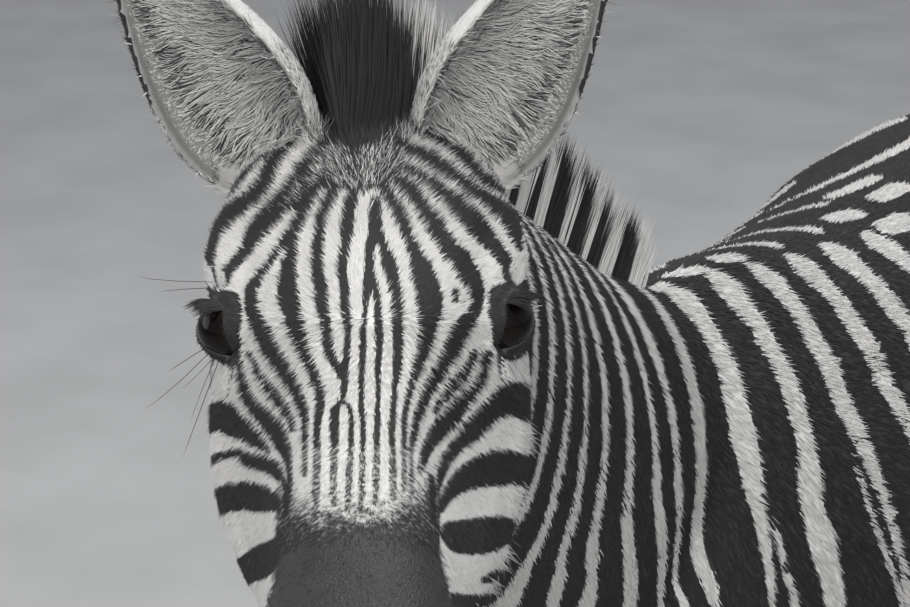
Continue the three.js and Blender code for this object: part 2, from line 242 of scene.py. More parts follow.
# %% The joined skin
VOXEL = 3.7 * MM
NOT_FLESH = ("hoof", "mane", "tail_tuft")
flesh = [name for name in frame["nodes"] if not name.startswith(NOT_FLESH)]
copies = [copy_of(name, "copy_" + name) for name in flesh]
bpy.ops.object.select_all(action="DESELECT")
for piece in copies:
    piece.select_set(True)
bpy.context.view_layer.objects.active = copies[0]
bpy.ops.object.join()
skin = bpy.context.object
skin.name = "skin"
skin.data.materials.clear()
cad_flesh = BVHTree.FromPolygons(
    [v.co for v in skin.data.vertices], [tuple(p.vertices) for p in skin.data.polygons]
)
apply_modifier(skin, "REMESH", mode="VOXEL", voxel_size=VOXEL)
pick(skin)
bpy.ops.object.mode_set(mode="EDIT")
bpy.ops.mesh.separate(type="LOOSE")
bpy.ops.object.mode_set(mode="OBJECT")
shells = sorted(bpy.context.selected_objects, key=lambda o: len(o.data.vertices))
skin = shells.pop()
for shell in shells:
    bpy.data.objects.remove(shell)
skin.name = "skin"
print("skin after remesh:", len(skin.data.vertices), "points, loose shells removed:", len(shells))

# %% [markdown]
# ## Which part of the body each point belongs to
# Smoothing, markings and hair differ between head, ears, legs and body. Simple places are enough to
# tell them apart: the head's own directions for the head and ears, and heights for the legs.

# %% Regions
EAR_ROOT = np.array([-150.0, 54.0, 0.0])
EAR_TIP = np.array([-222.0, 158.0, 154.0])
EAR_FACES = np.array([0.83, 0.28, 0.35])
EAR_REACH = 75
HEAD_STARTS = (-215, -165)
HEAD_REACH = 330
LEG_STARTS = (760, 640)


def mirror(place, hand):
    """A place on the head's left, or the same place on its right when hand is -1."""
    return np.array([place[0], place[1] * hand, place[2]])


def ear_share(head_places, hand):
    """How far along the ear from root to tip, and how far from that line."""
    root, tip = mirror(EAR_ROOT, hand), mirror(EAR_TIP, hand)
    along = tip - root
    share = (head_places - root) @ along / (along @ along)
    off = head_places - root - share[:, None] * along
    return share, np.linalg.norm(off, axis=1)


def region_weights(points):
    """How much each point belongs to the head, an ear, a leg and the rest of the body."""
    h = in_head(points)
    t = in_trunk(points)
    head = smooth(*HEAD_STARTS, h[:, 0]) * (np.linalg.norm(h[:, 1:], axis=1) < HEAD_REACH)
    ear = np.zeros(len(points))
    for hand in (1, -1):
        share, off = ear_share(h, hand)
        opens = unit(mirror(EAR_FACES, hand))
        before = (h - mirror(EAR_ROOT, hand)) @ opens
        inside = smooth(0.04, 0.14, share) * (off < EAR_REACH) * (share < 1.15)
        inside = inside * ((before < 24) | (share > 0.42)) * (h[:, 1] * hand > 0)
        ear = np.maximum(ear, inside)
    ear *= smooth(-12, 4, h[:, 2])
    head = np.maximum(head, ear)
    legs = smooth(*LEG_STARTS, t[:, 2]) * (1 - head)
    body = (1 - head) * (1 - legs)
    return {"head": head * (1 - ear), "ear": ear, "leg": legs, "body": body}


def store_group(obj, name, weights):
    """A vertex group with weights in tenths."""
    group = obj.vertex_groups.new(name=name)
    for level in range(1, 11):
        near = np.nonzero(np.round(weights * 10) == level)[0]
        if len(near):
            group.add(near.tolist(), level / 10, "REPLACE")


regions = region_weights(get_points(skin.data))
for name, weights in regions.items():
    store_group(skin, name, weights)
SMOOTHING = {"body": 90, "head": 14, "leg": 16, "ear": 5}
for name, times in SMOOTHING.items():
    apply_modifier(skin, "SMOOTH", factor=0.5, iterations=times, vertex_group=name)
places = get_points(skin.data)
h = in_head(places)
kept_face = smooth(-150, -120, h[:, 0]) * smooth(-75, -50, h[:, 2] + 0.25 * np.abs(h[:, 1]))
thinned = 1 - np.maximum(kept_face * (regions["head"] > 0.5), 0.8 * (regions["ear"] > 0.5))
store_group(skin, "thinned", thinned)
KEEP_SHARE = 0.183
apply_modifier(skin, "DECIMATE", ratio=KEEP_SHARE, vertex_group="thinned")
apply_modifier(skin, "SMOOTH", factor=0.5, iterations=12, vertex_group="body")
apply_modifier(skin, "SMOOTH", factor=0.5, iterations=3, vertex_group="leg")
print("skin after thinning:", len(skin.data.vertices), "points,", triangles_of(skin), "triangles")

# %% [markdown]
# ## Room for the coat
# The smoothing has shrunk the ridges a little. Each point is moved back to the depth of the coat
# under the solids, by an amount that is evened out over its neighbours, so no facets come back.

# %% Coat depth
COAT_DEPTH = {"body": 3.0, "leg": 2.0, "head": 1.0, "ear": 0.8}
VIEWER = np.array([0.8569, -1.8087, 1.960])
LOOK_WITHIN = 20
MOST_INWARDS, MOST_OUTWARDS = -6, 9
points = get_points(skin.data)
regions = region_weights(points)
depth = sum(COAT_DEPTH[name] * weights for name, weights in regions.items())
muzzle_nearness = smooth(200, 260, in_head(points)[:, 0]) * regions["head"]
depth *= 1 - 0.75 * muzzle_nearness
normals = get_normals(skin.data)


def gap_over(tree, points, normals):
    """Millimetres that each point lies outside a surface, and where that can be told."""
    gap, sure = np.zeros(len(points)), np.zeros(len(points), bool)
    for i, (point, normal) in enumerate(zip(points.tolist(), normals.tolist())):
        place, facing, _, _ = tree.find_nearest(point, LOOK_WITHIN * MM)
        if place is not None and facing.dot(Vector(normal)) > 0.5:
            gap[i] = (Vector(point) - place).dot(facing) / MM
            sure[i] = True
    return gap, sure


def evened(mesh, values, times):
    """Each value becomes more like its neighbours'."""
    pairs = np.empty(len(mesh.edges) * 2, np.int32)
    mesh.edges.foreach_get("vertices", pairs)
    a, b = pairs.reshape(-1, 2).T
    count = len(mesh.vertices)
    number = np.maximum(np.bincount(a, minlength=count) + np.bincount(b, minlength=count), 1)
    for _ in range(times):
        total = np.bincount(a, values[b], count) + np.bincount(b, values[a], count)
        values = 0.4 * values + 0.6 * total / number
    return values


gap, sure = gap_over(cad_flesh, points, normals)
sure &= regions["ear"] < 0.3
move = np.where(sure, np.clip(-depth - gap, MOST_INWARDS, MOST_OUTWARDS), -depth)
move = evened(skin.data, move, 12)
gaps = [round(float(np.percentile(gap[sure], share)), 1) for share in (2, 50, 98)]
print("smoothing had moved the skin by", gaps, "mm at the least, in the middle and at the most")
set_points(skin.data, points + normals * move[:, None] * MM)

# %% [markdown]
# ## Fine mesh where the face is looked at
# The stripes and folds of the face are a few millimetres wide, so the front of the face and the
# lids are split in smaller triangles. The rest of the skin stays coarse, which keeps the model light.

# %% Fine areas
EYE_AT = np.array([3.0, 79.5, -3.0])
EYE_RADIUS = 19.8
FINE_FROM, FINE_TO = -120, 262
EYE_ZONE = 33


def split_faces(obj, chosen):
    """Splits each chosen face in four."""
    mesh = obj.data
    for items in (mesh.vertices, mesh.edges, mesh.polygons):
        items.foreach_set("select", np.zeros(len(items), bool))
    mesh.polygons.foreach_set("select", chosen)
    pick(obj)
    bpy.context.tool_settings.mesh_select_mode = (False, False, True)
    bpy.ops.object.mode_set(mode="EDIT")
    bpy.ops.mesh.subdivide(number_cuts=1)
    bpy.ops.mesh.select_all(action="SELECT")
    bpy.ops.mesh.quads_convert_to_tris()
    bpy.ops.object.mode_set(mode="OBJECT")


def face_centres(mesh):
    """The middle and the normal of each face."""
    found = []
    for field in ("center", "normal"):
        flat = np.empty(len(mesh.polygons) * 3)
        mesh.polygons.foreach_get(field, flat)
        found.append(flat.reshape(-1, 3))
    return found


def eye_distance(head_places):
    """Millimetres to the middle of the nearer eye."""
    return np.minimum(*[
        np.linalg.norm(head_places - mirror(EYE_AT, hand), axis=1) for hand in (1, -1)
    ])


centres, facing = face_centres(skin.data)
h = in_head(centres)
seen = (unit(VIEWER - centres) * facing).sum(1) > 0.30
front = (h[:, 0] > FINE_FROM) & (h[:, 0] < FINE_TO) & (np.abs(h[:, 1]) < 105)
front = front & (h[:, 2] > -60) & seen
split_faces(skin, front | (eye_distance(h) < EYE_ZONE))
h = in_head(face_centres(skin.data)[0])
split_faces(skin, (eye_distance(h) < EYE_ZONE - 5) & (np.abs(h[:, 1]) > 78))
fine = region_weights(get_points(skin.data))["head"]
skin.vertex_groups.clear()
store_group(skin, "fine", fine)
apply_modifier(skin, "SMOOTH", factor=0.5, iterations=4, vertex_group="fine")
skin.vertex_groups.clear()
print("skin after splitting:", len(skin.data.vertices), "points,", triangles_of(skin), "triangles")

# %% [markdown]
# ## Lids over the balls of the eyes
# A lid is skin wrapped over a ball, with one or two creases where it folds back. Round each eye the
# skin is pulled to a set distance from the ball's centre. The opening is longer towards the nose.

# %% Lids
EYE_LOOKS = unit(np.array([0.45, 0.85, 0.27]))
EYE_LONG = 0.97
EYE_TALL = 0.74
LID_RADIUS = 20.8
SOCKET_RADIUS = 16.0
LID_REACH = 48


def eye_frame(hand):
    """The way the eye looks, along the opening towards the nose, and across it upwards."""
    looks = mirror(EYE_LOOKS, hand)
    along = np.array([0.96, 0.0, -0.28])
    along = unit(along - (along @ looks) * looks)
    across = np.cross(looks, along)
    return looks, along, across * np.sign(across[2])


def eye_ring(head_places, hand):
    """Distance from the ball's centre, how far out of the lids' opening, and the height there."""
    looks, along, across = eye_frame(hand)
    away = head_places - mirror(EYE_AT, hand)
    far = np.linalg.norm(away, axis=1)
    way = away / far[:, None]
    a, v, out = way @ along, way @ across, way @ looks
    tall = EYE_TALL * (1 - 0.30 * np.clip(a, 0, 1)) * np.where(v > 0, 1.08, 0.52)
    ring = np.sqrt((a / np.where(a > 0, EYE_LONG, 0.88)) ** 2 + (v / tall) ** 2)
    return far, np.where(out > 0, ring, ring + 3), v, way


def shape_eyes(head_places):
    """Moves places round the eyes towards or away from the balls' centres."""
    for hand in (1, -1):
        far, ring, v, way = eye_ring(head_places, hand)
        crease = 1.2 * hump(ring, 1.26, 0.05) * (v > 0) + 0.8 * hump(ring, 1.45, 0.06) * (v > 0)
        crease = crease + 0.7 * hump(ring, 1.28, 0.06) * (v < 0)
        lid = LID_RADIUS + 1.0 * smooth(1.05, 1.4, ring) - crease
        wanted = SOCKET_RADIUS + (lid - SOCKET_RADIUS) * smooth(0.93, 1.03, ring)
        near = (far < LID_REACH) & (ring < 2.6)
        hold = (1 - smooth(1.25, 1.7, ring)) * near
        target = np.where(ring > 1.05, np.maximum(wanted, np.minimum(far, wanted + 3)), wanted)
        moved = far * (1 - hold) + target * hold
        moved = np.where(near, moved, far)
        covering = (far < LID_REACH) & (ring > 1.05)
        moved = np.where(covering, np.maximum(moved, LID_RADIUS), moved)
        head_places = mirror(EYE_AT, hand) + way * moved[:, None]
    return head_places


print("the lids lie", round(LID_RADIUS - EYE_RADIUS, 1), "mm over the balls of the eyes")

# %% [markdown]
# ## Bones and folds of the head
# Under the thin skin of the face the bones show: a crest below the eye, the round jaw and hollows
# along the nose. Each is a small push along the normal, and so are nostrils, mouth and chin.

# %% Sculpting the face
NOSTRIL_AT = np.array([322.0, 34.0, -16.0])
NOSTRIL_DEPTH = 11.0
MOUTH_HEIGHT = -55.0
MOUTH_DEPTH = 6.5


def face_push(h):
    """How far each point of the head moves out along its normal, in millimetres."""
    s, w, u = h.T
    side = np.abs(w)
    flank = smooth(35, 60, side)
    push = 2.6 * hump(u, -40 - 0.10 * s, 8) * smooth(0, 40, s) * (1 - smooth(120, 175, s)) * flank
    push += 5.0 * hump(s, -75, 62) * hump(u, -115, 48) * flank
    push -= 4.0 * hump(s, 165, 60) * hump(u, -30, 30) * flank * (w < 0)
    push += 5.0 * hump(s, 165, 65) * hump(u, -50, 35) * flank * (w > 0)
    push -= 3.0 * hump(s, -45, 26) * hump(u, 30, 16) * smooth(60, 80, side)
    push += 2.0 * hump(side, 26, 12) * hump(s, 90, 90) * smooth(20, 40, u)
    lip = hump(u, MOUTH_HEIGHT + 3, 12) * smooth(255, 285, s)
    push += 2.0 * lip
    mouth = smooth(248, 268, s)
    push -= MOUTH_DEPTH * hump(u, MOUTH_HEIGHT, 2.6) * mouth
    push += 4.0 * hump(s, 300, 22) * hump(u, -84, 16) * (1 - smooth(20, 40, side))
    for hand in (1, -1):
        away = h - mirror(NOSTRIL_AT, hand)
        lean = unit(np.array([-0.55, 0.25 * hand, 0.80]))
        long = away @ lean
        bend = away[:, 0] * 0.8 + away[:, 2] * 0.55 - 0.012 * long ** 2
        ring = np.sqrt((long / 17) ** 2 + (bend / 7.5) ** 2)
        push -= NOSTRIL_DEPTH * (1 - smooth(0.35, 1.05, ring)) * (w * hand > 12)
        push += 3.0 * hump(ring, 1.45, 0.32) * (w * hand > 12)
    return push * smooth(-200, -150, s)


points = get_points(skin.data)
h = in_head(points)
on_head = region_weights(points)["head"]
push = face_push(h) * on_head
points = points + get_normals(skin.data) * push[:, None] * MM
near_head = np.nonzero(on_head > 0.3)[0]
points[near_head] = from_head(shape_eyes(in_head(points[near_head])))
print("the head is pushed by", round(float(push.min()), 1), "to", round(float(push.max()), 1), "mm")

# %% [markdown]
# ## Muscles and hollows of the body
# Low humps along the normal: shoulder blade, upper arm, the groove along the throat, the point of
# the hip and the fold in front of the thigh.

# %% Sculpting the body
BODY_FORMS = (
    # behind, over the floor, reach behind, reach up, height
    (-350, 1120, 45, 150, 7.0),
    (-460, 930, 70, 80, 8.0),
    (-270, 1040, 40, 150, -6.0),
    (-520, 1050, 40, 110, -6.0),
    (-330, 800, 60, 50, 6.0),
    (330, 1150, 60, 40, 6.0),
    (470, 1060, 90, 100, 6.0),
    (300, 880, 55, 110, -9.0),
    (400, 800, 70, 80, 5.0),
    (120, 830, 120, 60, 5.0),
)
t = in_trunk(points)
body_push = np.zeros(len(points))
for behind, height, reach_behind, reach_up, out in BODY_FORMS:
    body_push += out * hump(t[:, 1], behind, reach_behind) * hump(t[:, 2], height, reach_up)
body_push *= smooth(50, 110, np.abs(t[:, 0])) * (1 - on_head)
points = points + get_normals(skin.data) * body_push[:, None] * MM
set_points(skin.data, points)
print("sculpted; the skin has", triangles_of(skin), "triangles")

# %% [markdown]
# ## Measures of the stripes
# White lines are nearly upright on the neck and trunk, so each has a place along the body where it
# crosses a set height. Short thin lines stand between them on the shoulder, and small marks lie
# along the top of the back. All of them are in millimetres of the trunk's own directions.

# %% Measures of the stripes
WHITE_LINES = np.array([
    -832, -795, -757, -722, -687, -638, -586, -545, -487,
    -403, -339, -257, -173, -86, -2, 84, 170, 256,
])
LINE_HEIGHT = 1200
LINE_LEAN = 0.45
BEND_HEIGHT = np.array([(-460, 1000), (-370, 1105), (-280, 1160), (-100, 1130), (60, 1000)])
NECK_PITCH = 38.0
RUMP_PITCH = 88
HAUNCH_POINT = (200.0, 560.0)
HAUNCH_PITCH_ANGLE = 0.185
HIND_LEG_PITCH = 58
HIND_LEG_NARROWS = 90000
FORELEG_TOP = 760
FORELEG_FIRST = 9.4
FORELEG_PITCH = 44
FORELEG_NARROWS = 300000
DROP_FROM = 1050
BRANCHES = (
    # thin white lines on the left side, between the others: along, height, width
    [
        (-362, 1156, 3), (-387, 1118, 9), (-397, 1087, 11), (-401, 1053, 11), (-393, 1005, 10),
        (-380, 940, 8), (-368, 880, 2),
    ],
    [
        (-299, 1112, 3), (-307, 1094, 7), (-309, 1059, 9), (-302, 1019, 10), (-290, 975, 9),
        (-276, 920, 7), (-266, 870, 2),
    ],
    [(-340, 985, 3), (-335, 950, 8), (-330, 900, 9), (-334, 860, 4)],
    [(-433, 1095, 3), (-441, 1065, 9), (-443, 1030, 9), (-447, 985, 8), (-452, 935, 2)],
    [(-629, 1152, 3), (-617, 1124, 8), (-600, 1080, 9), (-588, 1030, 7)],
    [(-668, 1150, 3), (-672, 1110, 7), (-668, 1060, 7), (-660, 1010, 4)],
)
BACK_MARKS = (
    # white marks along the top of the back, seen from above: along, to the left, width
    [(-400, 10, 12), (-372, 6, 12)],
    [(-352, -6, 12), (-335, 4, 15), (-308, 13, 12)],
    [(-272, 6, 16), (-232, 12, 20)],
    [(-215, -48, 12), (-190, -30, 16), (-165, -8, 18), (-146, 8, 18)],
    [(-60, -85, 14), (-55, -50, 18), (-50, -19, 20), (-42, 6, 22)],
    [(60, -100, 14), (72, -70, 20), (80, -44, 20)],
    [(18, 0, 28), (55, 7, 28)],
    [(118, -46, 20), (150, -36, 26), (190, -27, 22)],
    [(122, 5, 26), (172, 12, 28)],
    [(44, 46, 26), (94, 50, 28)],
    [
        (145, -127, 14), (161, -103, 18), (196, -83, 20), (233, -63, 20), (271, -49, 20),
        (311, -38, 20), (380, -30, 16),
    ],
)
BACK_LINE = np.array([
    (-604, 945), (-545, 1120), (-470, 1222), (-390, 1274), (-300, 1275), (-190, 1256),
    (-60, 1236), (80, 1226), (210, 1229), (330, 1240), (440, 1250), (530, 1232), (640, 1130),
])
TOP_OF_LINES = np.array([
    (-430, 8), (-372, 27), (-225, 42), (-27, 50), (60, 72), (200, 105), (600, 110),
])
DASH_ROWS = (
    # over the side of the back, first dash, pitch, half length, half width, from
    (11, -385, 104, 40, 6.5, 260),
    (41, 40, 96, 33, 7.5, 190),
    (76, 150, 104, 32, 8.5, 130),
)
MARKS_END = 380
DASHES_END = 560
print(len(WHITE_LINES), "lines,", len(BRANCHES), "branches,", len(BACK_MARKS), "marks on the back")

# %% [markdown]
# ## Strokes, and a count of the lines
# A stroke is a row of points with a width at each. The lines of the body are counted instead: every
# point gets the number of the line it is at, with fractions between two lines. Where lines bend,
# the count bends too: it turns about a point on the haunch like a fan and lies level on the legs.

# %% Counting the lines


def rounded(stroke, steps=3):
    """A stroke's points with smooth points put between them."""
    rows = np.array(stroke, float)
    if len(rows) < 3:
        return rows
    ends = np.vstack([2 * rows[0] - rows[1], rows, 2 * rows[-1] - rows[-2]])
    out = []
    for p, q, r, s in zip(ends, ends[1:], ends[2:], ends[3:]):
        for k in range(steps):
            u = k / steps
            out.append(0.5 * (
                2 * q + (r - p) * u + (2 * p - 5 * q + 4 * r - s) * u ** 2
                + (3 * q - p - 3 * r + s) * u ** 3
            ))
    return np.vstack([out, rows[-1:]])


def stroke_depth(sheet, strokes):
    """How far each place on a drawing lies inside the nearest stroke, in the drawing's units."""
    best = np.full(len(sheet), -40.0)
    for stroke in strokes:
        rows = rounded(stroke)
        low, high = rows[:, :2].min(0) - 40, rows[:, :2].max(0) + 40
        near = np.nonzero(((sheet > low) & (sheet < high)).all(1))[0]
        at = sheet[near]
        found = best[near]
        for a, b in zip(rows, rows[1:]):
            step = b[:2] - a[:2]
            share = np.clip((at - a[:2]) @ step / (step @ step + 1e-9), 0, 1)
            away = np.linalg.norm(at - a[:2] - share[:, None] * step, axis=1)
            half = 0.5 * (a[2] + (b[2] - a[2]) * share)
            found = np.maximum(found, half - away)
        best[near] = found
    return best


def line_number(along):
    """Counts the white lines from the head backwards."""
    steps = np.arange(len(WHITE_LINES), dtype=float)
    inside = np.interp(along, WHITE_LINES, steps)
    before = (along - WHITE_LINES[0]) / NECK_PITCH
    behind = steps[-1] + (along - WHITE_LINES[-1]) / RUMP_PITCH
    inside = np.where(along > WHITE_LINES[-1], behind, inside)
    return np.where(along < WHITE_LINES[0], before, inside)


def body_phase(t):
    """Which white line a point is at, counted with fractions, and the lines' pitch there."""
    y, z = t[:, 1], t[:, 2]
    lean = LINE_LEAN * smooth(-570, -430, y) * (1 - 0.75 * smooth(-60, 200, y))
    bend = np.interp(y, BEND_HEIGHT[:, 0], BEND_HEIGHT[:, 1])
    along = y - lean * (np.maximum(z, bend) - LINE_HEIGHT) + 2 * wave(t * [0.3, 1, 1], 190, 3)
    along = along + 0.33 * (np.clip(z, 1050, 1170) - 1170) * smooth(-500, -560, y)
    drop = np.maximum(DROP_FROM - z, 0)
    along = along + 60 * (1 - np.exp(-((drop / 110) ** 2))) * smooth(-200, -760, y)
    along = along + 0.55 * drop * smooth(-400, -760, y)
    phase = line_number(along)
    pitch = 1 / np.maximum(np.abs(line_number(along + 6) - line_number(along - 6)) / 12, 1e-4)
    hy, hz = y - HAUNCH_POINT[0], z - HAUNCH_POINT[1]
    start = line_number(HAUNCH_POINT[0] - 0.1 * (z - LINE_HEIGHT))
    angle = np.arctan2(hy, np.maximum(hz, 1e-3))
    reach = np.hypot(hy, np.maximum(hz, 0))
    below = np.maximum(-hz, 0)
    fan = start + angle / HAUNCH_PITCH_ANGLE + below / HIND_LEG_PITCH + below ** 2 / HIND_LEG_NARROWS
    low_pitch = 1 / (1 / HIND_LEG_PITCH + 2 * below / HIND_LEG_NARROWS)
    fan_pitch = np.where(hz > 0, reach * HAUNCH_PITCH_ANGLE, low_pitch)
    in_fan = smooth(-60, 150, hy)
    phase = phase * (1 - in_fan) + fan * in_fan
    pitch = pitch * (1 - in_fan) + fan_pitch * in_fan
    foreleg = smooth(830, 690, z) * smooth(-120, -230, y)
    down = np.maximum(FORELEG_TOP - z, 0)
    leg_phase = FORELEG_FIRST + down / FORELEG_PITCH + down ** 2 / FORELEG_NARROWS
    leg_pitch = 1 / (1 / FORELEG_PITCH + 2 * down / FORELEG_NARROWS)
    phase = phase * (1 - foreleg) + leg_phase * foreleg
    pitch = pitch * (1 - foreleg) + leg_pitch * foreleg
    return phase, pitch


def back_distance(t):
    """Millimetres down the side from the ridge of the back."""
    return np.hypot(t[:, 0], np.interp(t[:, 1], BACK_LINE[:, 0], BACK_LINE[:, 1]) - t[:, 2])


middle_line = body_phase(np.array([[0.0, 0.0, LINE_HEIGHT]]))
print("line number and pitch at the middle of the trunk:", [round(float(v[0]), 2) for v in middle_line])

# %% [markdown]
# ## White of the body
# Every function of the markings gives one number for a point: how many millimetres it lies inside
# the white, with less than nothing in the black. The lines end in round tips under the top of the
# back, where dashes and marks take over, and the edge of each hoof is black.

# %% White of the body


def white_share(t):
    """How much of a line's pitch is white."""
    y, z = t[:, 1], t[:, 2]
    share = 0.36 - 0.04 * smooth(-520, -600, y) + 0.10 * smooth(200, 420, y)
    low_flank = 0.17 * smooth(1230, 1040, z) * smooth(-560, -430, y) * smooth(300, 60, y)
    share = share - low_flank + 0.16 * smooth(800, 700, z) + 0.02 * smooth(700, 520, z)
    hind_leg_top = 0.22 * smooth(800, 700, z) * (z > 640) * smooth(-330, -200, y)
    return share + hind_leg_top + 0.05 * wave(t, 240, 8)


def body_white(points):
    """Millimetres inside the white on the neck, trunk and legs."""
    t = in_trunk(points)
    x, y, z = t.T
    phase, pitch = body_phase(t)
    index = np.round(phase)
    off = np.abs(phase - index) * pitch
    half = 0.5 * white_share(t) * pitch + 1.2 * wave(t, 60, 21)
    over = back_distance(t)
    on_back = (y > -470) & (z > 1000)
    odd = np.sin(index * 12.9898) * 9
    top = np.interp(y, TOP_OF_LINES[:, 0], TOP_OF_LINES[:, 1]) + odd * smooth(-200, 60, y)
    top = top + 75 * smooth(-330, -200, y) * smooth(430, 330, y) * (x < 0)
    half_up = half * (1 + 0.45 * hump(over, top + 14, 16))
    beside = np.where(on_back, half_up, half) - off
    white = np.where(on_back & (over < top), half_up - np.hypot(off, top - over), beside)
    for row, (away, first, dash_pitch, half_long, half_wide, begin) in enumerate(DASH_ROWS):
        number = np.round((y - first) / dash_pitch)
        shift = 14 * np.sin(number * 7.7 + row * 3.1 + np.sign(x) * 1.3)
        local = y - first - number * dash_pitch - shift
        away_here = away + 4 * np.sin(number * 3.3 + row) + 0.05 * local
        beyond = np.maximum(np.abs(local) - half_long + half_wide, 0)
        dash = half_wide - np.hypot(beyond, over - away_here)
        begins = np.where(x > 0, begin, MARKS_END)
        shown = (number * dash_pitch + first > begins) & (y < DASHES_END) & on_back
        dash = np.where(shown, dash, -9.0)
        white = np.maximum(white, dash)
    marked = on_back & (over < 170) & (y < MARKS_END + 30)
    white[marked] = np.maximum(white[marked], stroke_depth(t[marked][:, 1::-1], BACK_MARKS))
    for side, branches in ((x > 0, BRANCHES), (x < 0, BRANCHES[::2])):
        here = side & (y < -240) & (y > -700) & (z > 860)
        white[here] = np.maximum(white[here], stroke_depth(t[here][:, 1:], branches))
    hoof_edge = smooth(96, 120, z)
    return white * hoof_edge - 8 * (1 - hoof_edge)


behind_neck = in_trunk(points)[:, 1] > -400
trunk_share = 100 * float((body_white(points[behind_neck]) > 0).mean())
print("white on", round(trunk_share), "% of the trunk and legs")

# %% [markdown]
# ## The drawing of the face
# The dark stripes of the face are strokes of changing width on a front view of the head, seen from
# a person's place. The drawing has its own grid: columns to the right, rows down, and a unit of
# about 0.6 mm at the eyes. These are the narrow ones, nearly upright, that fan out over the brow.

# %% Strokes of the forehead and nose
SHEET_UNIT = 0.594
SHEET_MIDDLE = (455, 303.5)
EYES_COLUMN = 367
NOSE_COLUMN = 358
VIEW_LEVEL = unit(np.array([0.5446, -0.8387, 0.0]))
VIEW_DIP = math.radians(20)
VIEW_FORWARD = np.array([
    -VIEW_LEVEL[0] * math.cos(VIEW_DIP), -VIEW_LEVEL[1] * math.cos(VIEW_DIP), -math.sin(VIEW_DIP)
])
VIEW_RIGHT = np.array([-VIEW_LEVEL[1], VIEW_LEVEL[0], 0.0])
VIEW_UP = np.cross(VIEW_RIGHT, VIEW_FORWARD)
VIEW_AWAY = 1352.0

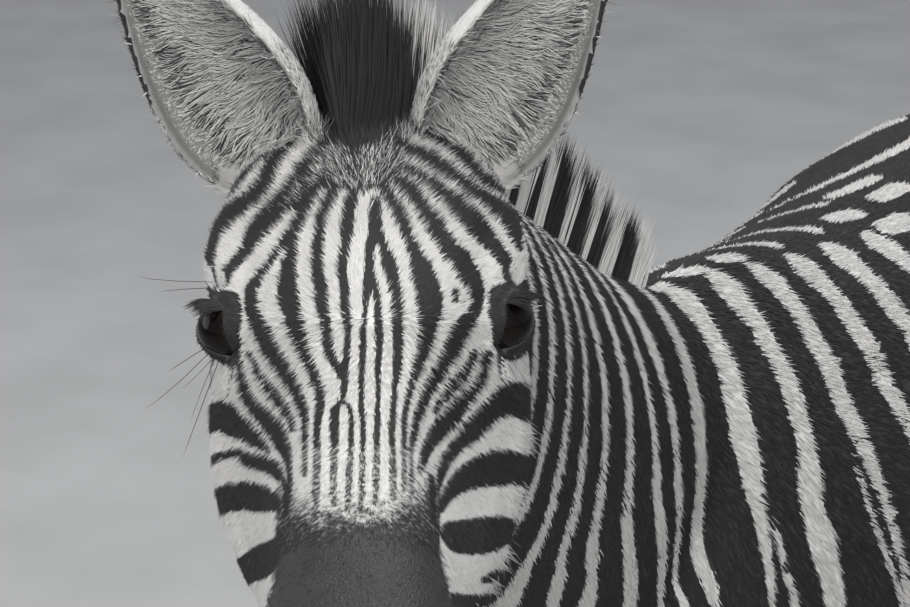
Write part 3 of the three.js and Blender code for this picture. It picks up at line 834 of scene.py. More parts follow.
FOREHEAD_STROKES = {
    "forelock_root": [(352, 96, 46), (355, 128, 40), (357, 146, 30), (358, 158, 12)],
    "rim_right": [
        (280, 140, 4), (261, 158, 4), (247, 172, 4.5), (236, 185, 5), (224, 199, 4.5),
        (211, 212, 4), (203, 224, 3),
    ],
    "temple_right": [
        (303, 118, 5), (298, 130, 7), (289, 145, 8), (281, 155, 9), (273, 165, 10), (267, 180, 10),
        (257, 195, 11), (243, 207, 11), (226, 219, 14), (215, 231, 16), (211, 243, 14), (211, 254, 11),
        (211, 263, 6),
    ],
    "brow_right": [
        (334, 146, 6), (322, 156, 9), (311, 168, 10), (300, 180, 10), (291, 190, 11), (285, 200, 14),
        (277, 210, 16), (268, 220, 17),
        (259, 230, 15), (253, 240, 14), (248, 250, 13), (238, 260, 11), (229, 270, 10), (224, 282, 11),
    ],
    "outer_right": [
        (326, 184, 6), (316, 192, 8), (308, 202, 9), (301, 220, 10), (294, 232, 10), (284, 244, 7),
        (278, 252, 6), (271, 261, 7), (265, 270, 8), (258, 280, 10), (252, 291, 13), (252, 310, 14),
        (262, 331, 17), (271, 350, 18), (284, 370, 15), (292, 385, 14), (300, 400, 10), (304, 415, 6.5),
        (305, 432, 3.5), (305, 475, 2),
    ],
    "inner_right": [
        (293, 236, 11), (292, 250, 11), (290, 260, 13), (289, 270, 16), (288, 290, 21), (292, 310, 19),
        (297, 330, 17), (303, 350, 12), (312, 370, 10), (317, 385, 10), (320, 400, 8),
        (317, 430, 4.5), (317, 460, 4.5), (316, 490, 4), (316, 515, 3),
    ],
    "third_right": [
        (341, 180, 8), (334, 190, 9), (331, 200, 8), (325, 210, 8), (320, 230, 9), (318, 250, 12),
        (318, 270, 13), (321, 290, 14), (323, 310, 12), (326, 330, 11), (329, 350, 10),
        (336, 366, 9), (343, 378, 8),
    ],
    "second_right": [
        (353, 198, 8), (350, 210, 9), (347, 230, 11), (345, 250, 9), (342, 270, 10),
        (345, 290, 10), (345, 310, 9), (348, 330, 7), (347, 350, 7), (344, 370, 9),
        (344, 385, 7), (343, 400, 4),
    ],
    "second_fork_a": [
        (343, 401, 3), (337, 406, 5), (334.5, 415, 7), (334.5, 445, 6), (333.5, 475, 4), (334, 505, 3),
    ],
    "second_fork_b": [
        (343, 401, 3), (349, 407, 3), (351, 416, 2.5), (351, 445, 3), (349, 475, 4), (348, 510, 3),
    ],
    "middle_a": [
        (376, 204, 5), (375, 214, 9), (375, 230, 11), (370, 250, 9), (369, 270, 10), (370, 285, 13),
        (366, 298, 7), (365, 310, 5), (363, 330, 6), (363, 350, 7), (362, 370, 6), (361, 400, 5),
        (363, 430, 3), (362, 475, 3), (361, 510, 2.5),
    ],
    "middle_b": [
        (373, 285, 8), (377, 300, 7), (378, 310, 8), (379, 330, 8), (379, 350, 7), (378, 370, 6),
        (378, 400, 4), (377, 430, 3.5), (376, 475, 4), (376, 505, 3),
    ],
    "second_left": [
        (378, 234, 9), (384, 250, 11), (390, 270, 14), (395, 290, 11), (397, 310, 11),
        (398, 330, 11), (398, 350, 10), (397, 370, 9), (395, 385, 6), (394, 400, 5),
        (392, 430, 4), (393, 475, 4), (393, 500, 3),
    ],
    "third_left": [
        (374, 180, 7), (385, 190, 6), (390, 200, 8), (396, 210, 9), (401, 220, 11), (405, 230, 10),
        (409, 240, 11), (413, 250, 13), (417, 260, 16), (421, 270, 21), (427, 290, 27), (429, 310, 25),
        (427, 330, 17), (423, 350, 13), (416, 370, 9), (412, 385, 7), (408, 400, 5), (405, 415, 4),
        (404, 430, 3), (404, 490, 2.5),
    ],
    "inner_left": [
        (386, 172, 5), (398, 181, 9), (408, 190, 12), (416, 200, 11), (422, 210, 13), (430, 220, 15),
        (436, 230, 17), (443, 240, 18), (450, 250, 20), (459, 260, 21), (467, 272, 22), (476, 290, 17),
        (475, 310, 12), (460, 330, 19), (451, 350, 17), (440, 370, 15), (431, 385, 13), (424, 400, 10),
        (418, 415, 7), (415, 430, 5), (412, 445, 3.5), (411, 465, 2), (412, 495, 2),
    ],
    "outer_left": [
        (396, 163, 5), (411, 172, 7), (425, 181, 8), (437, 190, 9), (449, 200, 14), (459, 210, 17),
        (469, 220, 19), (478, 230, 19), (488, 241, 17), (497, 251, 14), (505, 261, 13), (510, 270, 14),
        (511, 280, 14),
    ],
    "brow_left": [
        (392, 140, 5), (408, 150, 8), (428, 160, 12), (443, 170, 11), (458, 180, 8), (469, 190, 10),
        (485, 200, 11), (497, 210, 14), (509, 221, 16), (514, 232, 14), (517, 243, 9), (519, 250, 5),
    ],
    "temple_left": [
        (398, 108, 10), (412, 118, 12), (424, 128, 12), (436, 137, 11), (450, 147, 10), (462, 157, 9),
        (472, 169, 8), (483, 180, 7), (496, 189, 5), (505, 196, 4),
    ],
    "rim_left": [
        (436, 118, 6), (448, 130, 6), (464, 142, 6), (478, 152, 6), (490, 165, 5), (502, 180, 5),
        (514, 196, 5), (528, 212, 6), (534, 224, 5),
    ],
    "crown_edge_right": [(330, 136, 8), (321, 149, 10), (309, 162, 9), (300, 172, 7)],
    "spot_brow_left": [(454, 291, 5), (456, 301, 5)],
    "spot_temple_left": [(534, 243, 9), (535, 254, 12)],
}
print(len(FOREHEAD_STROKES), "strokes on the forehead and down the nose")

# %% [markdown]
# ## Strokes of the cheeks
# Under the eyes the stripes turn level and run backwards round the cheeks. They are broad, and go
# on past the edge of the front view. Where the stripes of forehead and cheek meet, the hair is
# mixed, so a few strokes are kept apart as mixed ones.

# %% Strokes of the cheeks
CHEEK_STROKES = {
    "tear_right": [
        (240, 362, 6), (241, 372, 7), (244, 385, 9), (250, 400, 12), (263, 415, 15),
        (275, 430, 16), (283, 445, 13), (288, 460, 6), (290, 475, 3), (289, 490, 4), (286, 508, 7),
    ],
    "cheek_1_right": [
        (110, 455, 22), (160, 438, 22), (200, 424, 24), (222, 414, 26), (230, 421, 26),
        (243, 429, 19), (254, 437, 13), (262, 445, 8), (268, 451, 3),
    ],
    "cheek_2_right": [
        (150, 480, 10), (232, 453, 6), (247, 459, 12), (262, 463, 13), (274, 468, 13), (279, 477, 6),
    ],
    "cheek_3_right": [
        (80, 560, 22), (140, 535, 24), (200, 508, 24), (230, 498, 25), (247, 496, 26),
        (262, 499, 24), (274, 504, 13), (279, 508, 5),
    ],
    "cheek_4_right": [
        (80, 630, 24), (150, 605, 26), (215, 585, 24), (250, 568, 27), (262, 561, 30),
        (272, 550, 18), (279, 541, 8),
    ],
    "cheek_5_right": [(90, 700, 24), (165, 670, 26), (215, 650, 26), (245, 634, 24), (266, 622, 14)],
    "tear_left": [
        (487, 354, 10), (483, 370, 9), (478, 385, 11), (464, 400, 13), (452, 415, 18),
        (439, 430, 16), (429, 445, 11), (423, 460, 7), (420, 472, 3),
    ],
    "cheek_1_left": [
        (700, 470, 24), (640, 445, 24), (580, 425, 26), (530, 405, 32), (512, 398, 33),
        (500, 403, 25), (487, 413, 20), (472, 430, 19), (457, 445, 12), (446, 460, 10),
        (441, 475, 6), (438, 488, 4),
    ],
    "cheek_2_left": [
        (700, 540, 24), (640, 510, 26), (580, 487, 30), (518, 469, 30), (500, 468, 34),
        (480, 472, 29), (463, 480, 21), (452, 490, 14), (445, 500, 8), (441, 510, 4),
    ],
    "cheek_3_left": [(452, 533, 22), (463, 537, 32), (485, 535, 34), (503, 531, 26), (513, 530, 12)],
    "cheek_3_far_left": [(560, 545, 20), (620, 565, 26), (700, 600, 24)],
    "cheek_4_left": [(484, 580, 5), (494, 576, 8), (500, 573, 4)],
    "cheek_5_left": [
        (690, 665, 24), (620, 635, 26), (560, 612, 24), (505, 598, 10), (490, 600, 10),
        (470, 604, 16), (456, 600, 12),
    ],
    "lids_right": [(206, 293, 18), (216, 316, 36), (223, 336, 34), (229, 352, 26)],
    "lids_left": [(526, 292, 26), (518, 315, 38), (512, 335, 40), (511, 346, 30)],
    "lip_line_right": [(283, 478, 2), (287, 495, 4), (286, 515, 4)],
    "lip_line_left": [(431, 478, 4), (433, 500, 5), (433, 520, 5)],
}
GRIZZLED_STROKES = {
    "crown": [(328, 162, 32), (359, 171, 46), (388, 162, 30)],
    "poll_right": [(326, 96, 18), (322, 112, 14), (334, 136, 14)],
    "poll_left": [(386, 96, 18), (390, 116, 16), (382, 138, 14)],
    "crown_right": [(318, 178, 18), (292, 204, 12), (272, 214, 8)],
    "under_eye_right": [
        (250, 352, 3), (257, 370, 5), (267, 385, 9), (279, 400, 9), (288, 415, 8), (294, 430, 4),
    ],
    "under_eye_left": [(474, 352, 4), (466, 370, 9), (454, 385, 11), (442, 400, 6), (434, 412, 4)],
}
TEMPLE_STROKES = 4
print(len(CHEEK_STROKES), "strokes on the cheeks, and", len(GRIZZLED_STROKES), "of mixed hair")

# %% [markdown]
# ## Rolling out the cheeks
# A front view ends at the edge of the cheek, where the skin turns away. The edge is measured on the
# skin itself, row by row, and behind it the drawing goes on by the depth behind the edge, as if
# paper were laid round the head.

# %% Places on the drawing


def on_plane(points):
    """Where a point shows on the front view, and its depth from the viewer in millimetres."""
    away = (points - VIEWER) / MM
    deep = away @ VIEW_FORWARD
    scale = VIEW_AWAY / deep
    across = away @ VIEW_RIGHT * scale / SHEET_UNIT + SHEET_MIDDLE[0]
    down = SHEET_MIDDLE[1] - away @ VIEW_UP * scale / SHEET_UNIT
    return across, down, deep


points = get_points(skin.data)
on_head = region_weights(points)["head"] > 0.4
across, down, deep = on_plane(points)
EDGE_STEP = 10.0
OUTERMOST = 5
EVEN_OVER = 7
edge_rows = np.arange(130, 720, EDGE_STEP)
edges = []
for row in edge_rows:
    here = on_head & (np.abs(down - row) < EDGE_STEP)
    found = []
    for low_side in (True, False):
        side = here & ((across < EYES_COLUMN) if low_side else (across > EYES_COLUMN))
        order = np.argsort(across[side])
        outer = order[:OUTERMOST] if low_side else order[-OUTERMOST:]
        found.append(deep[side][outer].mean() if side.sum() > OUTERMOST else np.nan)
    edges.append(found)
edges = np.array(edges)
for column in range(2):
    good = ~np.isnan(edges[:, column])
    edges[:, column] = np.interp(edge_rows, edge_rows[good], edges[good, column])
    padded = np.pad(edges[:, column], EVEN_OVER // 2, mode="edge")
    edges[:, column] = np.convolve(padded, np.ones(EVEN_OVER) / EVEN_OVER, mode="valid")
print("the edges lie", [round(float(v), 2) for v in edges.mean(0)], "mm from the viewer, in depth")


def on_sheet(points):
    """Places on the drawing, with the cheeks rolled out past the edges of the front view."""
    across, down, deep = on_plane(points)
    right_deep = np.interp(down, edge_rows, edges[:, 0])
    left_deep = np.interp(down, edge_rows, edges[:, 1])
    past_right = np.maximum(deep - right_deep, 0) / SHEET_UNIT * (across < EYES_COLUMN)
    past_left = np.maximum(deep - left_deep, 0) / SHEET_UNIT * (across >= EYES_COLUMN)
    return np.stack([across - past_right + past_left, down], 1)


def temple_strokes():
    """Strokes on the sides of the head that the front view doesn't show."""
    made = []
    for k in range(TEMPLE_STROKES):
        made.append([
            (176 - 34 * k, 150, 13), (164 - 34 * k, 230, 16),
            (170 - 32 * k, 320, 15), (186 - 30 * k, 385, 9),
        ])
        made.append([
            (572 + 34 * k, 150, 13), (584 + 34 * k, 230, 16),
            (580 + 32 * k, 310, 15), (560 + 30 * k, 372, 9),
        ])
    return made


FACE_DARK = [*FOREHEAD_STROKES.values(), *CHEEK_STROKES.values(), *temple_strokes()]

# %% [markdown]
# ## White and bare skin of the face
# White is what the dark strokes leave. Round each eye the lids are dark, down the nose the white
# fades out in bars, and the muzzle is bare dark skin. Mixed hair is neither black nor white: there
# each hair gets its own shade.

# %% White of the face
EYE_RING_DARK = 22.8
MIXED_EDGE = 7.0
CROWN_EDGE = 2.4


def grizzle(points):
    """How much black and white hairs are mixed, in millimetres of a stripe's edge."""
    sheet = on_sheet(points)
    mixed = stroke_depth(sheet, GRIZZLED_STROKES.values()) * SHEET_UNIT
    return np.maximum(MIXED_EDGE * smooth(-3, 3, mixed), CROWN_EDGE * smooth(250, 180, sheet[:, 1]))


def face_white(points):
    """Millimetres inside the white on the head."""
    sheet = on_sheet(points)
    white = -stroke_depth(sheet, FACE_DARK) * SHEET_UNIT - 0.15 - 0.75 * smooth(385, 425, sheet[:, 1])
    white = white - 1.4 * smooth(255, 190, sheet[:, 1])
    white = white - 0.6 * smooth(300, 280, sheet[:, 0]) * smooth(262, 235, sheet[:, 1])
    h = in_head(points)
    for hand in (1, -1):
        far = np.linalg.norm(h - mirror(EYE_AT, hand), axis=1)
        white = np.minimum(white, far - EYE_RING_DARK)
    poll = smooth(146, 128, sheet[:, 1]) * smooth(34, 20, np.abs(sheet[:, 0] - 356))
    white = np.minimum(white, 12 - 20 * poll)
    x, y = sheet.T
    on_nose = smooth(80, 62, np.abs(x - NOSE_COLUMN)) * smooth(412, 452, y)
    white = np.maximum(white, -0.36 - 6 * (1 - on_nose))
    bars = 8 * np.clip(white, -1, 1) + 6 * wave(points / MM, 7, 4)
    fade = 0.034 * (505 + bars - y) - 0.022 * np.maximum(np.abs(x - 352) - 36, 0)
    fade = np.maximum(fade, -0.62)
    fade = np.where((np.abs(x - NOSE_COLUMN) < 82) & (y > 440), fade, 9)
    white = np.minimum(white, fade)
    return np.where(grizzle(points) > 2.5, np.clip(white, -5.0, -3.0), white)


def bare_share(points):
    """1 on the bare dark skin of the muzzle, and less where it fades into the fur."""
    sheet = on_sheet(points)
    h = in_head(points)
    x, y = sheet.T
    half = np.interp(y, [480, 520, 545, 600, 660, 720], [60, 74, 76, 90, 112, 190])
    sides = smooth(9, -5, np.abs(x - 360) - half)
    fade = smooth(508, 550, y + 9 * wave(points / MM, 12, 4) - 10 * smooth(30, 70, np.abs(x - 360)))
    tip = smooth(268, 292, h[:, 0] + 0.35 * (h[:, 2] + 40) * (h[:, 2] < -40))
    return np.maximum(fade * sides, tip) * (h[:, 0] > 150)


face_share = 100 * float((face_white(points[on_head]) > 0).mean())
print("white on", round(face_share), "% of the head")

# %% [markdown]
# ## Markings of the ears
# The back of the ear is white at the root, black above and white at the tip. The cup is grey
# inside with a bright rim, and painted shade makes it darkest in its hollow.

# %% Ear markings
EAR_HALVES = np.array([
    # share of the length, half width and depth of the cup
    (0.0, 34, 28), (0.12, 46, 34), (0.26, 53, 36), (0.42, 51, 32), (0.58, 43, 26), (0.74, 32, 20),
    (0.88, 20, 13), (0.97, 9, 7),
])
HOLLOW_TURN = -0.72
RIM_TURN = 1.02


def ear_frame(hand):
    """The ear's own directions: to its tip, out of the cup, and towards the other ear."""
    along = unit(mirror(EAR_TIP, hand) - mirror(EAR_ROOT, hand))
    opens = mirror(EAR_FACES, hand)
    opens = unit(opens - (opens @ along) * along)
    return along, opens, unit(np.cross(opens, along)) * hand


def ear_places(h, hand):
    """Share of the length from the root, and the turn round the cup from the middle of its back."""
    along, opens, inwards = ear_frame(hand)
    off = h - mirror(EAR_ROOT, hand)
    share = off @ along / np.linalg.norm(EAR_TIP - EAR_ROOT)
    half = np.interp(share, EAR_HALVES[:, 0], EAR_HALVES[:, 1])
    depth = np.interp(share, EAR_HALVES[:, 0], EAR_HALVES[:, 2])
    return share, np.arctan2(off @ inwards / half, -(off @ opens) / depth)


def ear_inside(points, normals, hand):
    """True where the skin faces the middle of the cup."""
    _, opens, inwards = ear_frame(hand)
    off = in_head(points) - mirror(EAR_ROOT, hand)
    facing = normals @ HEAD_AXES.T
    return (off @ inwards) * (facing @ inwards) + (off @ opens) * (facing @ opens) < 0


def ear_white(points, normals, hand):
    """Millimetres inside the white on one ear."""
    share, turn = ear_places(in_head(points), hand)
    inside = ear_inside(points, normals, hand)
    back = 50 * (np.abs(share - 0.62 - 0.02 * wave(points / MM, 30, 61)) - 0.20)
    pale_edge = 0.15 + 5.8 * smooth(0.36, 0.60, share)
    back = np.where(turn > 0.7, pale_edge, np.minimum(back, 9 * (1.88 + turn)))
    rim = 5 * smooth(1.15, 1.30, turn) * smooth(0.36, 0.60, share)
    # Painted shade: the skin of the cup is darker towards its hollow.
    cup = -0.05 - 0.35 * hump(turn, HOLLOW_TURN, 0.40) + rim - 0.6 * hump(turn, RIM_TURN, 0.07)
    return np.where(inside, cup, back)


print("an ear is", round(float(np.linalg.norm(EAR_TIP - EAR_ROOT))), "mm long from root to tip")

# %% [markdown]
# ## One function for every marking
# Skin and tufts ask the same function for their white, so the edges of a stripe lie in one place on
# both. It sends each point to the drawing of the face, the lines of the body or the rule for ears.
# The skin then keeps the answer as a number at each point, with how bare it is and how near the
# lids, and its material turns the numbers into colours.

# %% Markings on the skin


def white_at(points, normals):
    """Millimetres inside the white fur for any point of the skin."""
    h = in_head(points)
    ear = region_weights(points)["ear"] > 0.5
    face = (smooth(-200, -186, h[:, 0]) * (h[:, 2] > -240) > 0.5) & ~ear
    faced = (unit(VIEWER - points) * normals).sum(1)
    turned_away = (h[:, 0] < -80) & (np.abs(h[:, 1]) > 45) & (faced < -0.1)
    behind_jaw = (h[:, 0] < -92) & (h[:, 2] < -95 - 0.5 * h[:, 0])
    face = face & ~turned_away & ~behind_jaw
    body = ~face & ~ear
    white = np.empty(len(points))
    if face.any():
        white[face] = face_white(points[face])
    if body.any():
        white[body] = body_white(points[body])
    for hand in (1, -1):
        here = ear & (h[:, 1] * hand > 0)
        if here.any():
            white[here] = ear_white(points[here], normals[here], hand)
    return white


points = get_points(skin.data)
h = in_head(points)
regions = region_weights(points)
lid = np.zeros(len(points))
for hand in (1, -1):
    far, ring, v, way = eye_ring(h, hand)
    lid = np.maximum(lid, smooth(1.20, 1.06, ring) * (far < 30))
crown = smooth(250, 160, on_sheet(points)[:, 1]) * (regions["head"] > 0.5)
skin_white = white_at(points, get_normals(skin.data))
put(skin.data, "white", np.clip(skin_white - 1.5 * crown, -12, 12))
put(skin.data, "bare", bare_share(points))
put(skin.data, "lid", lid)
put(skin.data, "ear", regions["ear"])
mixed = grizzle(points) * (h[:, 0] > -185) * (regions["ear"] < 0.5) * smooth(30, 44, eye_distance(h))
put(skin.data, "mixed", mixed)
print("white on", round(100 * float((skin_white > 0).mean())), "% of the skin's points")

# %% [markdown]
# ## A helper for nodes
# A material is a tree of nodes. The helper adds a node, links it and returns its result, so that a
# formula of several nodes can be written on one line. Fine grain comes from noise in the object's
# own space.

# %% Material helpers
WHITE_FUR = (0.61, 0.598, 0.575)
DARK_FUR = (0.021, 0.020, 0.0195)
BARE_SKIN = (0.013, 0.0124, 0.0121)
LID_SKIN = (0.011, 0.010, 0.0095)
NODES_IN_A_ROW = 9


class Tree:
    """Makes nodes in a material or group, and links them by name."""

    def __init__(self, tree):
        self.tree = tree
        self.count = 0

    def add(self, kind, **settings):
        node = self.tree.nodes.new(kind)
        node.location = (-220 * (self.count % NODES_IN_A_ROW), -260 * (self.count // NODES_IN_A_ROW))
        self.count += 1
        for name, value in settings.items():
            setattr(node, name, value)
        return node

    def link(self, source, target):
        self.tree.links.new(source, target)

    def value(self, source, socket):
        """Links a socket, or sets a plain number or colour."""
        if isinstance(source, bpy.types.NodeSocket):
            self.link(source, socket)
        else:
            socket.default_value = source

    def math(self, kind, a, b):
        node = self.add("ShaderNodeMath", operation=kind)
        self.value(a, node.inputs[0])
        self.value(b, node.inputs[1])
        return node.outputs[0]

    def mix(self, share, a, b):
        node = self.add("ShaderNodeMix", data_type="RGBA")
        self.value(share, node.inputs["Factor"])
        for source, socket in ((a, node.inputs["A"]), (b, node.inputs["B"])):
            self.value((*source, 1) if isinstance(source, tuple) else source, socket)
        return node.outputs["Result"]

    def ramp(self, source, low, high, out_low=0.0, out_high=1.0, kind="SMOOTHSTEP"):
        node = self.add("ShaderNodeMapRange", interpolation_type=kind)
        self.value(source, node.inputs["Value"])
        ends = {"From Min": low, "From Max": high, "To Min": out_low, "To Max": out_high}
        for name, number in ends.items():
            node.inputs[name].default_value = number
        return node.outputs["Result"]

    def read(self, name):
        return self.add("ShaderNodeAttribute", attribute_name=name).outputs["Fac"]

    def noise(self, scale, detail, stretch=None):
        coordinates = self.add("ShaderNodeTexCoord").outputs["Object"]
        if stretch:
            place = self.add("ShaderNodeMapping")
            place.inputs["Scale"].default_value = stretch
            self.link(coordinates, place.inputs["Vector"])
            coordinates = place.outputs["Vector"]
        node = self.add("ShaderNodeTexNoise")
        node.inputs["Scale"].default_value = scale
        node.inputs["Detail"].default_value = detail
        self.link(coordinates, node.inputs["Vector"])
        return node.outputs["Fac"]


print("white hair is", round(WHITE_FUR[0] / DARK_FUR[0]), "times as light as black hair")

# %% [markdown]
# ## Colour of the fur
# Zebra hair is black or a slightly warm off-white, with grey only at the edges. A group of nodes
# turns millimetres into a share of white, soft over a set width, and makes each hair a little
# lighter or darker. Skin and coat share the group.

# %% Fur colour


def new_material(name):
    """A material with its nodes and its shader."""
    material = bpy.data.materials.new(name)
    material.use_nodes = True
    tree = Tree(material.node_tree)
    material.node_tree.nodes.clear()
    shader = tree.add("ShaderNodeBsdfPrincipled")
    out = tree.add("ShaderNodeOutputMaterial")
    tree.link(shader.outputs["BSDF"], out.inputs["Surface"])
    return material, tree, shader


def new_group(name, inputs, outputs):
    """A shader node group with plain number inputs, and its named outputs."""
    group = bpy.data.node_groups.new(name, "ShaderNodeTree")
    for label, start in inputs.items():
        socket = group.interface.new_socket(label, in_out="INPUT", socket_type="NodeSocketFloat")
        socket.default_value = start
    for label, kind in outputs.items():
        group.interface.new_socket(label, in_out="OUTPUT", socket_type=kind)
    tree = Tree(group)
    return group, tree, tree.add("NodeGroupInput"), tree.add("NodeGroupOutput")


def use_group(tree, group, **sources):
    node = tree.add("ShaderNodeGroup", node_tree=group)
    for name, source in sources.items():
        tree.value(source, node.inputs[name])
    return node


fur_group, g, g_in, g_out = new_group(
    "Fur colour", {"White": 0.0, "Softness": 1.0, "Variation": 0.5},
    {"Colour": "NodeSocketColor", "Lightness": "NodeSocketFloat"},
)
lightness = g.math("DIVIDE", g_in.outputs["White"], g_in.outputs["Softness"])
lightness = g.ramp(lightness, -1.0, 1.0)
shade = g.ramp(g_in.outputs["Variation"], 0.0, 1.0, 0.80, 1.12, "LINEAR")
tint = g.mix(lightness, DARK_FUR, WHITE_FUR)
bright = g.add("ShaderNodeVectorMath", operation="SCALE")
g.link(tint, bright.inputs[0])
g.link(shade, bright.inputs["Scale"])
g.link(bright.outputs[0], g_out.inputs["Colour"])
g.link(lightness, g_out.inputs["Lightness"])
print("fur colour:", len(g.tree.nodes), "nodes")

# %% [markdown]
# ## Material of the skin
# Under the tufts the skin shows the same fur colours with a rougher edge. On the muzzle it is bare,
# dark and slightly shiny, with fine pores, and the lids are dark and smooth.

# %% Skin material
skin_material, m, bsdf = new_material("skin")
grain = m.noise(900, 2.0)
patches = m.noise(60, 4.0)
edge_noise = m.math("MULTIPLY", m.math("SUBTRACT", m.noise(420, 2.0), 0.5), 2.2)
edge_noise = m.math("MULTIPLY", edge_noise, m.math("SUBTRACT", 1.0, m.read("ear")))
mixed_noise = m.math("MULTIPLY", m.math("SUBTRACT", m.noise(380, 1.0), 0.5), m.read("mixed"))
white_mm = m.math("ADD", m.read("white"), edge_noise)
white_mm = m.math("ADD", white_mm, m.math("MULTIPLY", mixed_noise, 4.0))
fur = use_group(m, fur_group, White=white_mm, Softness=0.8, Variation=grain)
bare = m.read("bare")
bare = m.math("ADD", bare, m.math("MULTIPLY", m.math("SUBTRACT", m.noise(300, 2.0), 0.5), 0.5))
bare = m.math("MULTIPLY", m.ramp(bare, 0.25, 0.75), m.ramp(m.read("bare"), 0.02, 0.2))
bare_dark, bare_pale = [tuple(share * c for c in BARE_SKIN) for share in (0.75, 1.35)]
bare_tint = m.mix(m.ramp(patches, 0.3, 0.75), bare_dark, bare_pale)
colour = m.mix(bare, fur.outputs["Colour"], bare_tint)
lid_share = m.read("lid")
colour = m.mix(lid_share, colour, LID_SKIN)
m.link(colour, bsdf.inputs["Base Color"])
rough = m.ramp(m.math("MAXIMUM", bare, lid_share), 0.0, 1.0, 0.85, 0.5)
rough = m.math("ADD", rough, m.math("MULTIPLY", m.math("SUBTRACT", grain, 0.5), 0.2))
m.link(rough, bsdf.inputs["Roughness"])
pores = m.add("ShaderNodeTexVoronoi", feature="DISTANCE_TO_EDGE")
pores.inputs["Scale"].default_value = 420
m.link(m.add("ShaderNodeTexCoord").outputs["Object"], pores.inputs["Vector"])
pore_walls = m.ramp(pores.outputs["Distance"], 0.0, 0.25, 0.0, 0.5)
relief = m.math("ADD", m.math("MULTIPLY", pore_walls, bare), grain)
bump = m.add("ShaderNodeBump")
bump.inputs["Distance"].default_value = 0.0007
bump.inputs["Strength"].default_value = 0.55
m.link(relief, bump.inputs["Height"])
m.link(bump.outputs["Normal"], bsdf.inputs["Normal"])
skin.data.materials.append(skin_material)
skin.data.polygons.foreach_set("use_smooth", np.ones(len(skin.data.polygons), bool))
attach(skin, "root")
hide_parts(*[name for name in flesh if not name.startswith("eye")])
print("skin finished, with", len(m.tree.nodes), "nodes in its material")

# %% [markdown]
# ## Eyes
# A zebra's eye is a dark brown ball with a level pupil under a clear, slightly bulging front. It
# sits behind the lids, so only a part shows.

# %% Eyes
IRIS_DARK, IRIS_PALE = (0.003, 0.002, 0.0016), (0.008, 0.005, 0.0038)
PUPIL = (0.002, 0.002, 0.002)
EYE_EDGE = (0.008, 0.006, 0.005)
PUPIL_HALF = (0.36, 0.16)
IRIS_HALF = 0.78
eye_material, m, bsdf = new_material("eye")
across_eye = m.read("from_pupil")
streaks = m.noise(140, 4.0)
iris = m.mix(m.ramp(streaks, 0.35, 0.7), IRIS_DARK, IRIS_PALE)
colour = m.mix(m.ramp(across_eye, 0.9, 1.05), PUPIL, iris)
colour = m.mix(m.ramp(m.read("from_front"), 0.95, 1.1), colour, EYE_EDGE)
m.link(colour, bsdf.inputs["Base Color"])
bsdf.inputs["Roughness"].default_value = 0.07
bsdf.inputs["IOR"].default_value = 1.36
bsdf.inputs["Specular IOR Level"].default_value = 0.28
for hand, word in ((1, "left"), (-1, "right")):
    bpy.ops.mesh.primitive_uv_sphere_add(segments=64, ring_count=40, radius=EYE_RADIUS * MM)
    ball = bpy.context.object
    ball.name = "eye_ball_" + word
    looks, along, across_way = eye_frame(hand)
    local = get_points(ball.data) / (EYE_RADIUS * MM)
    bulge = 1 + 0.05 * smooth(0.80, 0.95, local[:, 2])
    places = (local @ np.stack([along, across_way, looks])) * EYE_RADIUS * bulge[:, None]
    a, v = local[:, 0], local[:, 1]
    put(ball.data, "from_pupil", np.sqrt((a / PUPIL_HALF[0]) ** 2 + (v / PUPIL_HALF[1]) ** 2))
    put(ball.data, "from_front", np.sqrt(a ** 2 + v ** 2) / IRIS_HALF + (local[:, 2] < 0) * 2)
    set_points(ball.data, from_head(mirror(EYE_AT, hand) + places))
    if np.linalg.det(np.stack([along, across_way, looks])) * np.linalg.det(HEAD_AXES) < 0:
        ball.data.flip_normals()
    ball.data.polygons.foreach_set("use_smooth", np.ones(len(ball.data.polygons), bool))
    ball.data.materials.append(eye_material)
    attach(ball, "root")
    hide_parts("eye_" + word)
print("eyes made,", 2 * EYE_RADIUS, "mm across")

# %% [markdown]
# ## Hooves
# A hoof is a wall of horn that grows down all the time, and its growth shows as rings. Each is a
# rounded copy of its solid, with low rings pressed into the wall and fibres in the colour.

# %% Hooves
HORN_DARK, HORN_PALE, HORN_FIBRE = (0.035, 0.030, 0.026), (0.12, 0.103, 0.085), (0.20, 0.175, 0.145)
RING_PITCH = 8
RING_HEIGHT = 0.5
hoof_material, m, bsdf = new_material("hoof horn")
rings = m.noise(45, 4.0, (0.15, 0.15, 3.4))
fibres = m.noise(260, 3.0, (1.0, 1.0, 0.06))
colour = m.mix(m.ramp(rings, 0.3, 0.7), HORN_DARK, HORN_PALE)
colour = m.mix(m.ramp(fibres, 0.45, 0.75, 0.0, 0.35), colour, HORN_FIBRE)
m.link(colour, bsdf.inputs["Base Color"])
m.link(m.ramp(fibres, 0.2, 0.8, 0.38, 0.62), bsdf.inputs["Roughness"])
bump = m.add("ShaderNodeBump")
bump.inputs["Distance"].default_value = 0.0012
bump.inputs["Strength"].default_value = 0.6
horn_relief = m.math("ADD", m.math("MULTIPLY", rings, 1.6), m.math("MULTIPLY", fibres, 0.4))
m.link(horn_relief, bump.inputs["Height"])
m.link(bump.outputs["Normal"], bsdf.inputs["Normal"])
